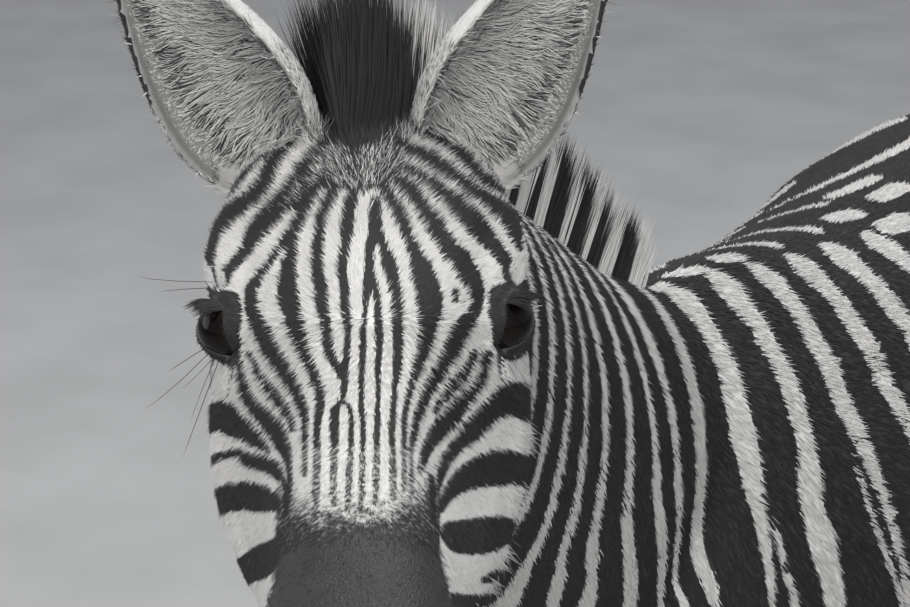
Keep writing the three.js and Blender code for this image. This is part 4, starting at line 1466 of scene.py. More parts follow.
for name in [n for n in frame["nodes"] if n.startswith("hoof")]:
    hoof = copy_of(name, name + "_wall")
    hoof.data.materials.clear()
    low = get_points(hoof.data)[:, 2].min()
    apply_modifier(hoof, "REMESH", mode="VOXEL", voxel_size=3.0 * MM)
    apply_modifier(hoof, "SMOOTH", factor=0.5, iterations=6)
    place = get_points(hoof.data)
    place[:, 2] = np.maximum(place[:, 2] - (place[:, 2].min() - low), low)
    middle = place[:, :2].mean(0)
    ringed = RING_HEIGHT * MM * np.sin(place[:, 2] / MM * 2 * math.pi / RING_PITCH)
    ringed = ringed * smooth(6, 14, place[:, 2] / MM)
    place[:, :2] += unit(place[:, :2] - middle) * ringed[:, None]
    set_points(hoof.data, place)
    hoof.data.polygons.foreach_set("use_smooth", np.ones(len(hoof.data.polygons), bool))
    hoof.data.materials.append(hoof_material)
    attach(hoof, "root")
    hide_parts(name)
print("hooves made, the last of", triangles_of(hoof), "triangles")

# %% [markdown]
# ## The lie of the coat
# Hair grows in set directions: out and up from a whorl on the forehead, down the nose and cheeks,
# backwards and down over the neck and body, and down the legs. Each tuft asks for the direction at
# its root, laid flat on the skin.

# %% Lie of the coat
WHORL = np.array([369.0, 318.0])


def flat_on(direction, normals):
    """A direction laid on the skin."""
    return unit(direction - (direction * normals).sum(1, keepdims=True) * normals)


def head_flow(points, normals):
    """Away from the whorl on the forehead, and down the nose and cheeks."""
    sheet = on_sheet(points)
    away = sheet - WHORL
    radial = unit(np.stack([away[:, 0] / 55, away[:, 1] / (np.abs(away[:, 1]) + 9)], 1) + [0.0, 1e-3])
    cheek = unit(np.stack([np.clip(away[:, 0] / 150, -1.1, 1.1), np.full(len(away), 1.0)], 1))
    share = smooth(-20, 60, away[:, 1])[:, None]
    drawn = unit(radial * (1 - share) + cheek * share)
    down = flat_on(np.broadcast_to(-VIEW_UP, points.shape), normals)
    outward = np.cross(normals, down)
    return unit(outward * drawn[:, :1] + down * drawn[:, 1:])


def body_flow(points, normals):
    """Backwards and down over the body, and straight down the legs."""
    t = in_trunk(points)
    y, z = t[:, 1], t[:, 2]
    back = 0.45 + 0.25 * smooth(-350, 0, y)
    down = 0.85 - 0.35 * smooth(-450, -150, y) + 1.0 * smooth(330, 560, y)
    down = down + 0.5 * hump(y, -480, 90) * (z < 1100)
    down = down * smooth(560, 800, z) + 5 * smooth(760, 600, z)
    side = 0.12 * wave(t, 130, 31)
    return flat_on(np.stack([side, back, -down + 0.25 * wave(t, 170, 32)], 1), normals)


def ear_flow(points, normals, hand):
    """Towards the tip on the back of an ear, and outwards over the cup."""
    along, opens, inwards = ear_frame(hand)
    inside = ear_inside(points, normals, hand)
    share, turn = ear_places(in_head(points), hand)
    rise = (-0.25 + 1.15 * smooth(0.1, 0.85, share) + 0.25 * smooth(0.2, 1.2, turn))[:, None]
    hair = opens * 0.35 + along * rise - inwards * 0.9
    way = np.where(inside[:, None], hair @ HEAD_AXES, (along + 0.1 * opens) @ HEAD_AXES)
    return flat_on(way, normals)


def flow_at(points, normals, regions):
    """The way the hair lies at any point of the skin."""
    flow = body_flow(points, normals)
    on_head = regions["head"] > 0.5
    if on_head.any():
        flow[on_head] = head_flow(points[on_head], normals[on_head])
    h = in_head(points)
    for hand in (1, -1):
        on_ear = (regions["ear"] > 0.5) & (h[:, 1] * hand > 0)
        if on_ear.any():
            flow[on_ear] = ear_flow(points[on_ear], normals[on_ear], hand)
    return flow


nose_top = from_head([[200.0, 0.0, 20.0]])
nose_flow = flow_at(nose_top, UP[None], region_weights(nose_top))
print("hair on the nose lies towards", [round(float(v), 2) for v in HEAD_AXES @ nose_flow[0]])

# %% [markdown]
# ## One unwrap for every tuft
# The bake map shows each tuft as a small patch at its root's place. The head is unrolled about the
# line of the nose, the body about its length, and legs and ears have tiles of their own.

# %% Unwrap
PATCH = 0.003
TILE = 0.12


def turn_share(a, b):
    """An angle as a share of one turn."""
    return (np.arctan2(a, b) / (2 * math.pi)) % 1.0


def unwrap(points, normals, regions):
    """A place on the bake map for the root of each tuft."""
    h, t = in_head(points), in_trunk(points)
    u = 0.02 + 0.96 * np.clip((t[:, 1] + 900) / 1700, 0, 1)
    v = 0.02 + 0.46 * turn_share(t[:, 0], t[:, 2] - 1000)
    leg = t[:, 2] < 700
    column = (t[:, 0] > 0) + 2 * (t[:, 1] > 0)
    middle_y = np.where(t[:, 1] > 0, 440, -330)
    round_leg = 0.11 * turn_share(np.abs(t[:, 0]) - 130, t[:, 1] - middle_y)
    u = np.where(leg, 0.51 + TILE * column + round_leg, u)
    v = np.where(leg, 0.52 + 0.22 * t[:, 2] / 700, v)
    head = regions["head"] > 0.5
    u = np.where(head, 0.02 + 0.46 * np.clip((h[:, 0] + 240) / 620, 0, 1), u)
    v = np.where(head, 0.52 + 0.46 * turn_share(h[:, 1], h[:, 2] + 50), v)
    for hand in (1, -1):
        ear = (regions["ear"] > 0.5) & (h[:, 1] * hand > 0)
        share, turn = ear_places(h, hand)
        inside = ear_inside(points, normals, hand)
        tile = (hand > 0) * 2 + inside
        u = np.where(ear, 0.51 + TILE * tile + 0.11 * (0.5 + turn / (2 * math.pi)), u)
        v = np.where(ear, 0.78 + 0.18 * np.clip(share, 0, 1.1), v)
    return np.stack([u, v], 1)


skin_map = unwrap(points, get_normals(skin.data), regions)
print("the skin's places on the bake map:", skin_map.min(0).round(2), "to", skin_map.max(0).round(2))

# %% [markdown]
# ## A maker of hairs
# A tuft is a closed spike: three sides round a root, drawn out along a path to a tip. Longer hairs
# have more steps. Their normals lean towards the skin's, so a flat coat shades softly. Each hair
# is darker at its root and lighter at its tip, a painted shade of the coat's depth.

# %% Maker of hairs
PIECE_LIMIT = 198_000
QUICK_SHARE = 0.25
fur_material, m, bsdf = new_material("fur")
fur = use_group(m, fur_group, White=m.read("white"), Softness=0.30, Variation=m.read("variation_and_painted_light"))
strand_grain = m.ramp(m.noise(1500, 2.0), 0.25, 0.75, 0.88, 1.10)
bright = m.add("ShaderNodeVectorMath", operation="SCALE")
m.link(fur.outputs["Colour"], bright.inputs[0])
m.link(strand_grain, bright.inputs["Scale"])
m.link(bright.outputs[0], bsdf.inputs["Base Color"])
m.link(m.ramp(fur.outputs["Lightness"], 0.0, 1.0, 0.62, 0.85), bsdf.inputs["Roughness"])
bsdf.inputs["Specular IOR Level"].default_value = 0.25


def strand_faces(steps):
    """The triangles of one hair, as numbers of its own points."""
    faces = [(0, 1, 2)]
    for j in range(steps - 1):
        l0, r0, t0 = 3 * j, 3 * j + 1, 3 * j + 2
        l1, r1, t1 = l0 + 3, r0 + 3, t0 + 3
        faces += [(l0, l1, r1), (l0, r1, r0), (r0, r1, t1), (r0, t1, t0), (t0, t1, l1), (t0, l1, l0)]
    left, right, top, tip = 3 * steps - 3, 3 * steps - 2, 3 * steps - 1, 3 * steps
    return np.array(faces + [(left, tip, right), (right, tip, top), (top, tip, left)])


def hairs(name, paths, ups, widths, white, variation_and_painted_light, patch_at, taper=(1.0,), replaces=()):
    """Makes closed hairs along paths (hair, point, xyz), split in pieces of a fair size."""
    steps = paths.shape[1] - 1
    pattern = strand_faces(steps)
    share = QUICK_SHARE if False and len(paths) > 4000 else 1.0
    chosen = np.arange(len(paths))[:: round(1 / share)]
    pieces = max(1, math.ceil(len(chosen) * len(pattern) / PIECE_LIMIT))
    for number, part in enumerate(np.array_split(chosen, pieces)):
        path, up, width = paths[part], ups[part], widths[part]
        count, each = len(part), 3 * steps + 1
        points = np.empty((count, each, 3), np.float32)
        normals = np.empty_like(points)
        for j in range(steps):
            ahead = unit(path[:, j + 1] - path[:, j])
            side = unit(np.cross(ahead, up))
            lifted = unit(np.cross(side, ahead))
            half = 0.5 * width[:, None] * taper[j]
            points[:, 3 * j] = path[:, j] - side * half
            points[:, 3 * j + 1] = path[:, j] + side * half
            points[:, 3 * j + 2] = path[:, j] + lifted * half * 0.6
            normals[:, 3 * j] = unit(up - side * 0.55)
            normals[:, 3 * j + 1] = unit(up + side * 0.55)
            normals[:, 3 * j + 2] = unit(up + 0.2 * lifted)
        points[:, -1] = path[:, -1]
        normals[:, -1] = unit(up + 0.2 * ahead)
        faces = (np.arange(count)[:, None, None] * each + pattern).reshape(-1, 3)
        mesh = bpy.data.meshes.new(f"{name}_{number + 1}")
        mesh.vertices.add(count * each)
        mesh.loops.add(faces.size)
        mesh.polygons.add(len(faces))
        mesh.vertices.foreach_set("co", points.ravel())
        mesh.loops.foreach_set("vertex_index", faces.ravel().astype(np.int32))
        mesh.polygons.foreach_set("loop_start", np.arange(0, faces.size, 3, dtype=np.int32))
        mesh.polygons.foreach_set("use_smooth", np.ones(len(faces), bool))
        mesh.update(calc_edges=True)
        depth = np.tile(np.append(np.repeat(np.arange(steps) / steps, 3), 1.0), (count, 1))
        put(mesh, "white", np.repeat(white[part], each))
        # Painted shade: each hair is darker at its root and lighter towards its tip, besides its own
        # random shade.
        put(mesh, "variation_and_painted_light", (variation_and_painted_light[part][:, None] + 0.30 * (depth - 0.55)).ravel())
        bake = mesh.uv_layers.new(name="OFBake")
        sideways = np.tile([-0.5, 0.5, 0.0], steps + 1)[:each]
        corner = np.stack([sideways, depth[0] - 0.5], 1) * PATCH
        spread = (patch_at[part][:, None, :] + corner[None]).reshape(-1, 2)
        bake.data.foreach_set("uv", spread[faces.ravel()].astype(np.float32).ravel())
        mesh.normals_split_custom_set_from_vertices(normals.reshape(-1, 3))
        mesh.materials.append(fur_material)
        piece = bpy.data.objects.new(mesh.name, mesh)
        bpy.context.scene.collection.objects.link(piece)
        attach(piece, "root")
        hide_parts(*replaces)
    print(name, len(chosen), "hairs in", pieces, "pieces,", len(chosen) * len(pattern), "triangles")


# %% [markdown]
# ## Roots spread over the skin
# Every triangle of the skin gets roots by its area and by how dense the coat is there: small and
# many on the face, larger and fewer on the far side of the body.

# %% Roots
skin.data.calc_loop_triangles()
corners = np.empty(len(skin.data.loop_triangles) * 3, np.int32)
skin.data.loop_triangles.foreach_get("vertices", corners)
corners = corners.reshape(-1, 3)
skin_points, skin_normals = get_points(skin.data), get_normals(skin.data)
tri_middle = skin_points[corners].mean(1)
tri_normal = unit(skin_normals[corners].mean(1))
edge_a = skin_points[corners[:, 1]] - skin_points[corners[:, 0]]
edge_b = skin_points[corners[:, 2]] - skin_points[corners[:, 0]]
tri_area = 0.5 * np.linalg.norm(np.cross(edge_a, edge_b), axis=1) / MM ** 2
tri_regions = region_weights(tri_middle)
tri_h, tri_t = in_head(tri_middle), in_trunk(tri_middle)
lid_rings = [eye_ring(tri_h, hand) for hand in (1, -1)]
tri_ring = np.minimum(*[ring + 9 * (far > 30) for far, ring, _, _ in lid_rings])
lid_free = tri_ring > 1.10
tri_bare = bare_share(tri_middle)
print("the skin has", round(float(tri_area.sum() / 1e6), 2), "square metres")


def spread_roots(density):
    """Roots for a density per square millimetre on each triangle."""
    weight = tri_area * density
    total = weight.sum()
    count = int(total)
    steps = (np.arange(count) + rng.uniform(0, 1, count)) * (total / count)
    index = np.minimum(np.searchsorted(np.cumsum(weight), steps), len(weight) - 1)
    a, b = rng.uniform(0, 1, count), rng.uniform(0, 1, count)
    folded = a + b > 1
    a, b = np.where(folded, 1 - a, a)[:, None], np.where(folded, 1 - b, b)[:, None]
    p, n = skin_points[corners[index]], skin_normals[corners[index]]
    points = p[:, 0] * (1 - a - b) + p[:, 1] * a + p[:, 2] * b
    normals = unit(n[:, 0] * (1 - a - b) + n[:, 1] * a + n[:, 2] * b)
    return points, normals


# %% [markdown]
# ## A coat from roots
# Each tuft leans back along the lie of the hair and strays a little. It takes its white from the
# marking at its middle, so a stripe's edge is a row of black and white tips, as in real fur. Mixed
# hair and bare skin are drawn by lot for each tuft. Tufts on the cheeks and the neck are made
# lighter, and those from the shoulder back darker: painted light and painted shade.

# %% Coat from roots
SPREAD_OF_LEAN = 0.35
LEAST_LEAN = 0.03
SUNK_ROOT = 0.35
EDGE_STRAY = 0.40
BARE_TUFT = -0.66


def sized(size, h, t):
    """A size in millimetres: a number, or a function of the root's places."""
    return size(h, t) if callable(size) else size


def coat(name, density, length, width, tilt, mess=0.16, dark=0.0):
    """Short tufts at a density per square millimetre, leaning by tilt, strayed by mess."""
    points, normals = spread_roots(density)
    regions = region_weights(points)
    h, t = in_head(points), in_trunk(points)
    flow = flow_at(points, normals, regions)
    side = np.cross(normals, flow)
    count = len(points)
    stray = side * rng.normal(0, mess, count)[:, None]
    flow = unit(flow + stray + side * (0.10 * wave(t, 26, 41))[:, None])
    long = sized(length, h, t) * rng.uniform(0.72, 1.25, count)
    lean = np.abs(rng.normal(tilt, SPREAD_OF_LEAN * tilt, count)) + LEAST_LEAN
    ahead = unit(flow + normals * np.tan(lean)[:, None])
    sunk = points - normals * (SUNK_ROOT * MM)
    paths = np.stack([sunk, sunk + ahead * (long * MM)[:, None]], 1)
    mixed = np.where(regions["head"] > 0.5, grizzle(points), 0)
    middle = points + flow * (0.42 * long * MM)[:, None]
    bare = bare_share(points) * (regions["head"] > 0.5)
    white = white_at(middle, normals)
    white = white + rng.normal(0, EDGE_STRAY, count) * (1 - 0.75 * smooth(0, 0.2, bare))
    white = white + rng.uniform(-1, 1, count) * mixed * 0.8 - dark
    white = np.where(bare > rng.uniform(0.15, 0.85, count), BARE_TUFT, white)
    sheet = on_sheet(points)
    # Painted light and shade: lighter tufts on the cheeks and neck, darker ones on the shoulder, trunk
    # and legs.
    lit_cheeks = smooth(390, 430, sheet[:, 1]) * smooth(70, 90, np.abs(sheet[:, 0] - NOSE_COLUMN))
    painted_light_and_shade = np.where(regions["head"] > 0.5, 0.45 * lit_cheeks, 0.45 - 0.93 * smooth(-640, -430, t[:, 1]))
    shade = np.clip(rng.normal(0.5, 0.22, count) + 0.12 * wave(t, 45, 42) + painted_light_and_shade, 0, 1.2)
    widths = sized(width, h, t) * rng.uniform(0.75, 1.25, count) * MM
    hairs(name, paths, normals, widths, white, shade, unwrap(points, normals, regions))


print("tufts start", SUNK_ROOT, "mm under the skin")

# %% [markdown]
# ## Coat of the head
# The face has short fine hair, shortest on the nose and round the eyes. The crown under the
# forelock has the thinnest, the poll has some that stands up, and long hairs edge the jaw.

# %% Coat of the head
SEEN_FROM = -0.15
faced = (unit(VIEWER - tri_middle) * tri_normal).sum(1)
on_head = tri_regions["head"] > 0.5
bare_thin = 1 - 0.88 * smooth(0.55, 0.98, tri_bare)
front_head = on_head & (faced > SEEN_FROM) & lid_free
side_head = on_head & (faced <= SEEN_FROM) & lid_free
near_lids = smooth(2.4, 1.3, tri_ring)
tri_sheet = on_sheet(tri_middle)
on_crown = smooth(245, 215, tri_sheet[:, 1]) * on_head


def face_length(h, t):
    """Shorter down the nose and close to the eyes."""
    down_nose = 7.4 - 2.6 * smooth(70, 190, h[:, 0]) - 1.2 * smooth(190, 260, h[:, 0])
    return down_nose * (1 - 0.45 * smooth(48, 28, eye_distance(h)))


coat(
    "coat_face", 0.52 * front_head * bare_thin * (1 + 0.6 * near_lids) * (1 - 0.5 * on_crown),
    face_length, lambda h, t: 1.0 - 0.25 * smooth(90, 220, h[:, 0]), tilt=0.20,
)
coat(
    "coat_head_sides", 0.15 * side_head * bare_thin,
    lambda h, t: 10.0 - 4.0 * smooth(150, 280, h[:, 0]),
    lambda h, t: 1.9 - 0.6 * smooth(150, 280, h[:, 0]), tilt=0.17,
)
crown_part = on_crown * front_head * (tri_h[:, 0] > -190)
coat("coat_crown", 0.74 * crown_part, 9.5, 0.52, tilt=0.26, mess=0.24)

poll = on_head & (np.abs(tri_sheet[:, 0] - 357) < 50) & (tri_sheet[:, 1] < 150) & (tri_sheet[:, 1] > 96)
coat("coat_poll", 0.22 * poll, 17.0, 0.7, tilt=0.75, mess=0.55, dark=1.5)

jaw = on_head & (tri_h[:, 1] > 55) & (np.abs(faced + 0.1) < 0.35)
jaw = jaw & (tri_h[:, 0] > 10) & (tri_h[:, 0] < 250) & (tri_h[:, 2] < -20) & (tri_h[:, 2] > -150)
coat("coat_jaw", 0.06 * jaw, 13.0, 0.8, tilt=0.50, mess=0.40)

# %% [markdown]
# ## Coat of the neck, body and legs
# Close to the viewer the tufts are small and dense. Towards the back, on the far side and on the
# legs they grow longer and wider and stand farther apart, which saves triangles where they count
# least.

# %% Coat of the neck, body and legs
SHOT_FROM, SHOT_TO, SHOT_DOWN = -15, 925, 622
NECK_END = -440
LEG_TOP = 700
HOOF_TOP = 92
on_body = (tri_regions["body"] + tri_regions["leg"]) > 0.5
_, y, z = tri_t.T
shot_x, shot_y, _ = on_plane(tri_middle)
in_shot = on_body & (faced > SEEN_FROM) & (shot_y < SHOT_DOWN)
in_shot = in_shot & (shot_x > SHOT_FROM) & (shot_x < SHOT_TO)
close = in_shot & (y < NECK_END)
shoulder = in_shot & ~close
on_leg = on_body & (z < LEG_TOP)
on_neck = on_body & (y < NECK_END) & (z > 900) & ~in_shot
far_trunk = on_body & ~on_neck & ~in_shot & ~on_leg
hoof_free = z > HOOF_TOP
coat("coat_neck_near", 0.19 * close, 9.5, 1.4, tilt=0.20)
coat("coat_shoulder", 0.092 * shoulder, 12.0, 2.1, tilt=0.15)
coat("coat_neck_far", 0.035 * on_neck, 17.0, 2.8, tilt=0.18)
coat("coat_trunk", 0.0145 * far_trunk, 23.0, 4.4, tilt=0.15)
coat(
    "coat_legs", 0.058 * on_leg * hoof_free,
    lambda h, t: 9.0 + 6 * smooth(150, 600, t[:, 2]),
    lambda h, t: 2.9 + 0.6 * smooth(150, 600, t[:, 2]), tilt=0.12,
)

# %% [markdown]
# ## Ears
# Short hair covers the back of each ear. Inside, long pale hairs start at the inner fold and sweep
# outwards over the cup, which keeps out flies and dust.

# %% Hair of the ears
LONG_FROM = 20
on_ear = tri_regions["ear"] > 0.5
ear_back = np.zeros(len(tri_area))
ear_cup = np.zeros(len(tri_area))
for hand in (1, -1):
    here = on_ear & (tri_h[:, 1] * hand > 0)
    inside = ear_inside(tri_middle, tri_normal, hand)
    ear_back += here & ~inside
    ear_cup += here & inside & (ear_places(tri_h, hand)[1] > -1.4)
coat("coat_ear_backs", 0.34 * ear_back, 5.0, 1.0, tilt=0.16, mess=0.30)


def cup_hairs(name, density, long, wide, rise):
    """Hairs over the cup, in clumps; the long ones bend, and the short ones are straight."""
    points, normals = spread_roots(density)
    regions = region_weights(points)
    h = in_head(points)
    flow = flow_at(points, normals, regions)
    count = len(points)
    turn = np.zeros(count)
    share = np.zeros(count)
    for hand in (1, -1):
        here = h[:, 1] * hand > 0
        s, a = ear_places(h[here], hand)
        share[here], turn[here] = s, a
    side = np.cross(normals, flow)
    clump = wave(h, 17, 51)[:, None]
    flow = unit(flow + side * (rng.normal(0, 0.14, count)[:, None] + 0.32 * clump))
    length = long * rng.uniform(0.6, 1.15, count) * (1 - 0.45 * smooth(0.7, 1.0, share))
    by_rim = smooth(-0.5, -1.2, turn)
    length *= (1 - 0.55 * smooth(0.55, 1.3, turn)) * (1 - 0.74 * by_rim)
    start = unit(flow + normals * (rise * rng.uniform(0.5, 1.3, count) * (1 - 0.8 * by_rim))[:, None])
    end = unit(flow - normals * 0.25 + side * (0.3 * clump))
    last = unit(end - normals * 0.3 + side * (0.35 * wave(h, 23, 52)[:, None]))
    step = (length * 0.5 * MM)[:, None] * 2 / 3
    root, middle = points - normals * 0.3 * MM, points + start * step
    paths = np.stack([root, middle, middle + end * step, middle + (end + last) * step], 1)
    paths = paths if long > LONG_FROM else paths[:, ::3]
    dark = rng.uniform(0, 1, count) < 0.05 + 0.08 * clump[:, 0]
    # Painted shade: hairs over the hollow of the cup are made darker.
    white = np.where(dark, -0.3, rng.uniform(0.0, 0.6, count)) - 0.30 * hump(turn, HOLLOW_TURN, 0.35)
    shade = np.clip(rng.normal(0.65, 0.35, count), 0, 1.3)
    widths = wide * rng.uniform(0.7, 1.3, count) * MM
    hairs(
        name, paths, normals, widths, white, shade, unwrap(points, normals, regions),
        taper=(0.8, 1.0, 0.7)[:paths.shape[1] - 1],
    )


cup_hairs("coat_ear_fluff", 0.34 * ear_cup, 10.0, 0.7, 0.35)
cup_hairs("coat_ear_long", 0.25 * ear_cup, 34.0, 0.55, 0.45)

# %% [markdown]
# ## Mane
# The mane stands up stiffly along the crest of the neck, and the stripes of the neck run on through
# it. Between the ears it ends in a black forelock. Rows of measures along the crest say where the
# hairs stand, how they lean and how tall and wide the mane is there.

# %% Mane
MANE_ROWS = np.array([
    # place of the root, lean of the hairs, height, half width at the root and at the top
    (0, -385, 1250, 0.0, 0.42, 0.91, 30, 9, 8),
    (0, -425, 1262, 0.0, 0.46, 0.89, 60, 12, 14),
    (4, -500, 1282, 0.0, 0.5, 0.87, 96, 14, 18),
    (14, -585, 1322, 0.02, 0.5, 0.87, 116, 15, 20),
    (30, -680, 1374, 0.02, 0.40, 0.90, 126, 15, 21),
    (48, -775, 1440, 0.0, 0.34, 0.93, 126, 15, 23),
    (60, -860, 1502, -0.08, 0.35, 0.93, 122, 13, 26),
    (61, -912, 1536, -0.28, 0.25, 0.93, 122, 8, 29),
    (67, -938, 1550, -0.33, 0.21, 0.93, 114, 6, 33),
    (71, -954, 1556, -0.35, 0.17, 0.93, 96, 4, 28),
    (73, -964, 1558, -0.34, 0.07, 0.95, 60, 2, 13),
])
MANE_HAIRS = 10400
FORELOCK_FROM = -895
PALE_FROM = -850
SUNK = 14.0
MANE_FROM = 52.0
ALL_WHITE, ALL_BLACK = 4.0, -6.0
reach = np.concatenate([[0], np.cumsum(np.linalg.norm(np.diff(MANE_ROWS[:, :3], axis=0), axis=1))])
spots = MANE_FROM + rng.uniform(0, 1, MANE_HAIRS) ** 0.85 * (reach[-1] - MANE_FROM)
row = np.stack([np.interp(spots, reach, MANE_ROWS[:, k]) for k in range(MANE_ROWS.shape[1])], 1)
root, lean, tall, half_root, half_top = row[:, :3], unit(row[:, 3:6]), row[:, 6], row[:, 7], row[:, 8]
tall = tall + 10 * smooth(160, 60, spots)
ahead_row = np.stack([
    np.interp(np.minimum(spots + 8, reach[-1]), reach, MANE_ROWS[:, k])
    - np.interp(np.maximum(spots - 8, 0), reach, MANE_ROWS[:, k]) for k in range(3)
], 1)
side = unit(np.cross(lean, unit(ahead_row)))
q = rng.uniform(-1, 1, MANE_HAIRS)
tall = tall * rng.uniform(0.78, 1.03, MANE_HAIRS) * (1 - 0.10 * q ** 2)
clump = np.stack([wave(root + side * (q * half_root)[:, None], 15, 60 + k) for k in range(3)], 1)
stray = rng.normal(0, 1, (MANE_HAIRS, 3)) * 2.4 + clump * 3.4
paths = []
for u in (0.0, 0.5, 1.0):
    wide = q * (half_root + (half_top - half_root) * min(1.25 * u, 1))
    at = root + lean * (-SUNK + (tall + SUNK) * u)[:, None] + side * wide[:, None] + stray * u ** 2
    paths.append(TRUNK_ORIGIN + at * MM)
paths = np.stack(paths, 1)
neck_white = body_white(TRUNK_ORIGIN + (root + side * (q * half_root)[:, None]) * MM)
pale = np.where(rng.uniform(0, 1, MANE_HAIRS) < 0.72, ALL_WHITE, ALL_BLACK)
white = np.where(root[:, 1] < PALE_FROM, pale, neck_white + 3.0 + rng.normal(0, 1.2, MANE_HAIRS))
white = np.where(root[:, 1] < FORELOCK_FROM + 8 * q, ALL_BLACK, white)
# Painted light: the mane's hairs are made lighter, as much as the neck's tufts.
shade = np.clip(rng.normal(0.95, 0.22, MANE_HAIRS), 0, 1.3)
ups = unit(side * q[:, None] * 1.2 + np.array([0.0, -0.5, 0.0]))
mane_uv = np.stack([0.02 + 0.96 * spots / reach[-1], 0.985 + 0.012 * q], 1)
hairs(
    "mane_hair", paths, ups, rng.uniform(1.3, 2.5, MANE_HAIRS) * MM, white, shade, mane_uv,
    taper=(1.0, 0.85), replaces=("mane",),
)

# %% [markdown]
# ## Tail
# The tail ends in a tuft of long black hair. The hairs start at different heights on the last part
# of the tail and run down inside a spindle, wide above and pointed below.

# %% Tail
TUFT_ROWS = np.array([
    # behind, height, half width, half depth
    (715, 849, 17, 17), (715, 815, 27, 25), (717, 760, 36, 31), (719, 690, 40, 33),
    (720, 610, 36, 30), (720, 540, 26, 22), (719, 490, 12, 10),
])
TUFT_HAIRS = 2600
TUFT_FILL = 0.93
from_height = rng.uniform(690, 862, TUFT_HAIRS)
to_height = rng.uniform(494, 610, TUFT_HAIRS)
angle = rng.uniform(0, 2 * math.pi, TUFT_HAIRS)
radius = np.sqrt(rng.uniform(0.02, 1, TUFT_HAIRS))
paths = []
for u in (0.0, 0.33, 0.66, 1.0):
    z = from_height + (to_height - from_height) * u
    at = [np.interp(-z, -TUFT_ROWS[:, 1], TUFT_ROWS[:, k]) for k in (0, 2, 3)]
    grown = radius * (0.35 + 0.65 * min(1.0, u * 2.2))
    sway = 3.0 * wave(np.stack([angle * 20, radius * 40, z * 0.2], 1), 30, 71) * u
    sideways = at[1] * grown * np.cos(angle) * TUFT_FILL + sway
    backwards = at[0] + at[2] * grown * np.sin(angle) * TUFT_FILL
    paths.append(TRUNK_ORIGIN + np.stack([sideways, backwards, z], 1) * MM)
paths = np.stack(paths, 1)
ups = np.stack([np.cos(angle), np.sin(angle), 0 * angle + 0.1], 1)
pale = rng.uniform(0, 1, TUFT_HAIRS) < 0.02 * smooth(740, 850, from_height)
tail_uv = np.stack([0.02 + 0.46 * angle / (2 * math.pi), 0.99 - 0.01 * radius], 1)
hairs(
    "tail_hair", paths, unit(ups), rng.uniform(2.6, 4.6, TUFT_HAIRS) * MM,
    np.where(pale, ALL_WHITE, ALL_BLACK), np.clip(rng.normal(0.5, 0.2, TUFT_HAIRS), 0, 1), tail_uv,
    taper=(0.7, 1.0, 0.8), replaces=("tail_tuft",),
)

# %% [markdown]
# ## Lashes
# Stiff dark lashes stand out from the upper lid and droop. Each starts on the ball's lid at its own
# angle and is bent once on the way to its tip.

# %% Lashes
LASHES = 150
DROOP = np.array([0.0, 0.0, -1.0])
lash_paths, lash_ups, lash_roots = [], [], []
for hand in (1, -1):
    looks, along, across_way = eye_frame(hand)
    for _ in range(LASHES):
        angle = math.radians(rng.uniform(98, 148))
        a, v = EYE_LONG * math.cos(angle), EYE_TALL * 1.12 * math.sin(angle)
        if a < 0:
            a *= 0.9
        flat_out = math.sqrt(max(1 - a * a - v * v, 0.01))
        way = along * a + across_way * v + looks * flat_out
        root = mirror(EYE_AT, hand) + unit(way) * (LID_RADIUS - 0.6)
        out = unit(unit(way) * 0.25 + looks * 0.9 + DROOP * 0.30 + rng.normal(0, 0.07, 3))
        long = rng.uniform(13, 21)
        middle = root + out * long * 0.5
        tip = middle + unit(out + DROOP * 0.35 + looks * 0.2) * long * 0.5
        lash_paths.append(from_head(np.stack([root, middle, tip])))
        lash_ups.append(across_way @ HEAD_AXES)
        lash_roots.append(from_head(root))
lash_roots = np.array(lash_roots)
lash_uv = unwrap(lash_roots, np.array(lash_ups), region_weights(lash_roots))
hairs(
    "lashes", np.array(lash_paths), np.array(lash_ups), rng.uniform(0.5, 0.9, len(lash_paths)) * MM,
    np.full(len(lash_paths), ALL_BLACK), rng.uniform(0.0, 0.4, len(lash_paths)), lash_uv,
    taper=(1.0, 0.8),
)

# %% [markdown]
# ## Feelers
# A few long thin feelers grow under and over the eyes, and short ones on the lips and chin. Those
# at the eyes are drawn from root to tip, and find the skin along the line of sight. Those on the
# lips are spread by lot.

# %% Feelers
FEELER_WIDTH = 0.42
skin_tree = BVHTree.FromPolygons(skin_points.tolist(), corners.tolist())
EYE_FEELERS = (
    # root and tip on the drawing of the face
    (214, 357, 180, 390), (215, 358, 190, 424), (219, 360, 181, 462), (209, 353, 141, 411),
    (205, 348, 168, 372), (212, 282, 135, 276), (208, 288, 158, 292), (516, 354, 546, 402),
    (510, 357, 536, 420), (505, 359, 524, 404), (523, 346, 556, 374), (520, 284, 580, 262),
    (514, 290, 560, 296),
)


def sheet_ray(x, y):
    """The way from the viewer to a place on the drawing."""
    right = VIEW_RIGHT * (x - SHEET_MIDDLE[0]) * SHEET_UNIT / VIEW_AWAY
    up = VIEW_UP * (SHEET_MIDDLE[1] - y) * SHEET_UNIT / VIEW_AWAY
    return VIEW_FORWARD + right + up


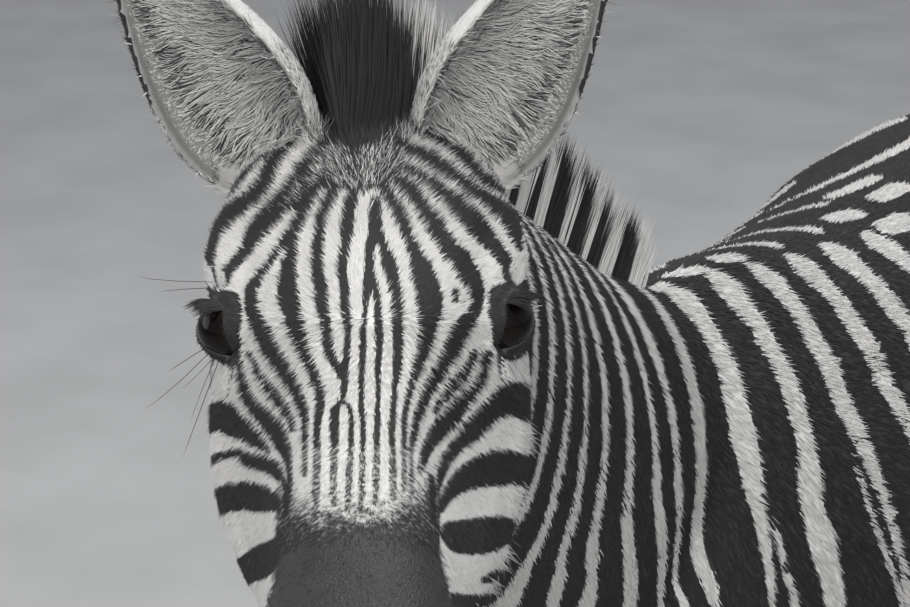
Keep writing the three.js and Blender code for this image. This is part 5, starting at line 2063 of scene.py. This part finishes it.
feelers, feeler_ups = [], []
for x0, y0, x1, y1 in EYE_FEELERS:
    ray = sheet_ray(x0, y0)
    place, normal, _, _ = skin_tree.ray_cast(Vector(VIEWER), Vector(ray))
    if place is None:
        continue
    place, normal = np.array(place), np.array(normal)
    deep = (place - VIEWER) @ VIEW_FORWARD
    tip = VIEWER + sheet_ray(x1, y1) * deep
    whole = tip - place
    bow = normal * np.linalg.norm(whole) * 0.10
    feelers.append(np.stack([place, place + whole * 0.35 + bow, place + whole * 0.7 + bow, tip]))
    feeler_ups.append(normal)
lip = on_head & (tri_h[:, 0] > 272) & (tri_h[:, 2] < -20) & (tri_h[:, 2] > -110)
points, normals = spread_roots(0.0022 * lip)
for place, normal in zip(points, normals):
    way = unit(normal + FRONT * 0.5 - UP * 0.2 + rng.normal(0, 0.15, 3))
    step = rng.uniform(5, 9) * MM
    bent = unit(way - UP * 0.2)
    others = [place + way * step, place + (way + bent) * step, place + (way + 2 * bent) * step]
    feelers.append(np.stack([place, *others]))
    feeler_ups.append(normal)
feelers, feeler_ups = np.array(feelers), np.array(feeler_ups)
feeler_uv = unwrap(feelers[:, 0], feeler_ups, region_weights(feelers[:, 0]))
hairs(
    "feelers", feelers, feeler_ups, np.full(len(feelers), FEELER_WIDTH * MM),
    np.full(len(feelers), -3.0), np.full(len(feelers), 0.4), feeler_uv, taper=(1.0, 0.9, 0.7),
)

# %% [markdown]
# ## Floor, light and camera
# A plain pale floor that runs on far behind, three wide soft lamps and an even pale surround show
# the form without hard shadows. The camera stands where a person would, a little over the eyes.

# %% Stage
FLOOR_TONES = (0.40, 0.40, 0.395), (0.45, 0.45, 0.445)
SURROUND = (0.93, 0.95, 1.0, 1)
LENS = 90.0
FILM_WIDTH = 36.0
FLOOR_SIDE = 60
bpy.ops.mesh.primitive_plane_add(size=FLOOR_SIDE)
floor = bpy.context.object
floor.name = "floor"
floor_material, m, bsdf = new_material("floor")
floor_tint = m.mix(m.ramp(m.noise(3, 4.0), 0.3, 0.7), *FLOOR_TONES)
m.link(floor_tint, bsdf.inputs["Base Color"])
bsdf.inputs["Roughness"].default_value = 0.9
floor.data.materials.append(floor_material)
floor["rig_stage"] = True

world = bpy.data.worlds.new("surround")
bpy.context.scene.world = world
world.use_nodes = True
background = world.node_tree.nodes["Background"]
background.inputs["Color"].default_value = SURROUND
background.inputs["Strength"].default_value = 0.50


def soft_lamp(name, place, target, size, power):
    """A round lamp that shines at a place, wide enough for soft shadows."""
    lamp = bpy.data.lights.new(name, "AREA")
    lamp.shape = "DISK"
    lamp.size = size
    lamp.energy = power
    made = bpy.data.objects.new(name, lamp)
    bpy.context.scene.collection.objects.link(made)
    made.location = place
    made.rotation_euler = (Vector(target) - Vector(place)).to_track_quat("-Z", "Y").to_euler()


soft_lamp("key", (2.2, -3.4, 4.2), (0.0, -0.3, 1.1), 3.0, 150)
soft_lamp("fill", (-3.2, -2.6, 2.8), (0.0, -0.4, 1.2), 3.5, 60)
soft_lamp("top", (0.0, 1.2, 5.2), (0.0, 0.2, 1.0), 4.0, 120)

camera_data = bpy.data.cameras.new("camera")
camera_data.sensor_width = FILM_WIDTH
camera_data.lens = LENS
camera_data.dof.use_dof = False
camera = bpy.data.objects.new("camera", camera_data)
bpy.context.scene.collection.objects.link(camera)
camera.location = VIEWER
turn = np.stack([VIEW_RIGHT, VIEW_UP, -VIEW_FORWARD], 1)
camera.rotation_euler = Matrix(turn.tolist()).to_euler()
bpy.context.scene.camera = camera
bpy.context.scene.view_settings.view_transform = "Standard"
print("the viewer stands", round(float(np.linalg.norm(VIEWER - EYES_MIDDLE)), 2), "m from the eyes")

# %% [markdown]
# ## Size and finish
# The box of the whole model is measured, and its size is printed.

# %% Finish
low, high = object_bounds()
print("size", [round(v, 3) for v in high - low])
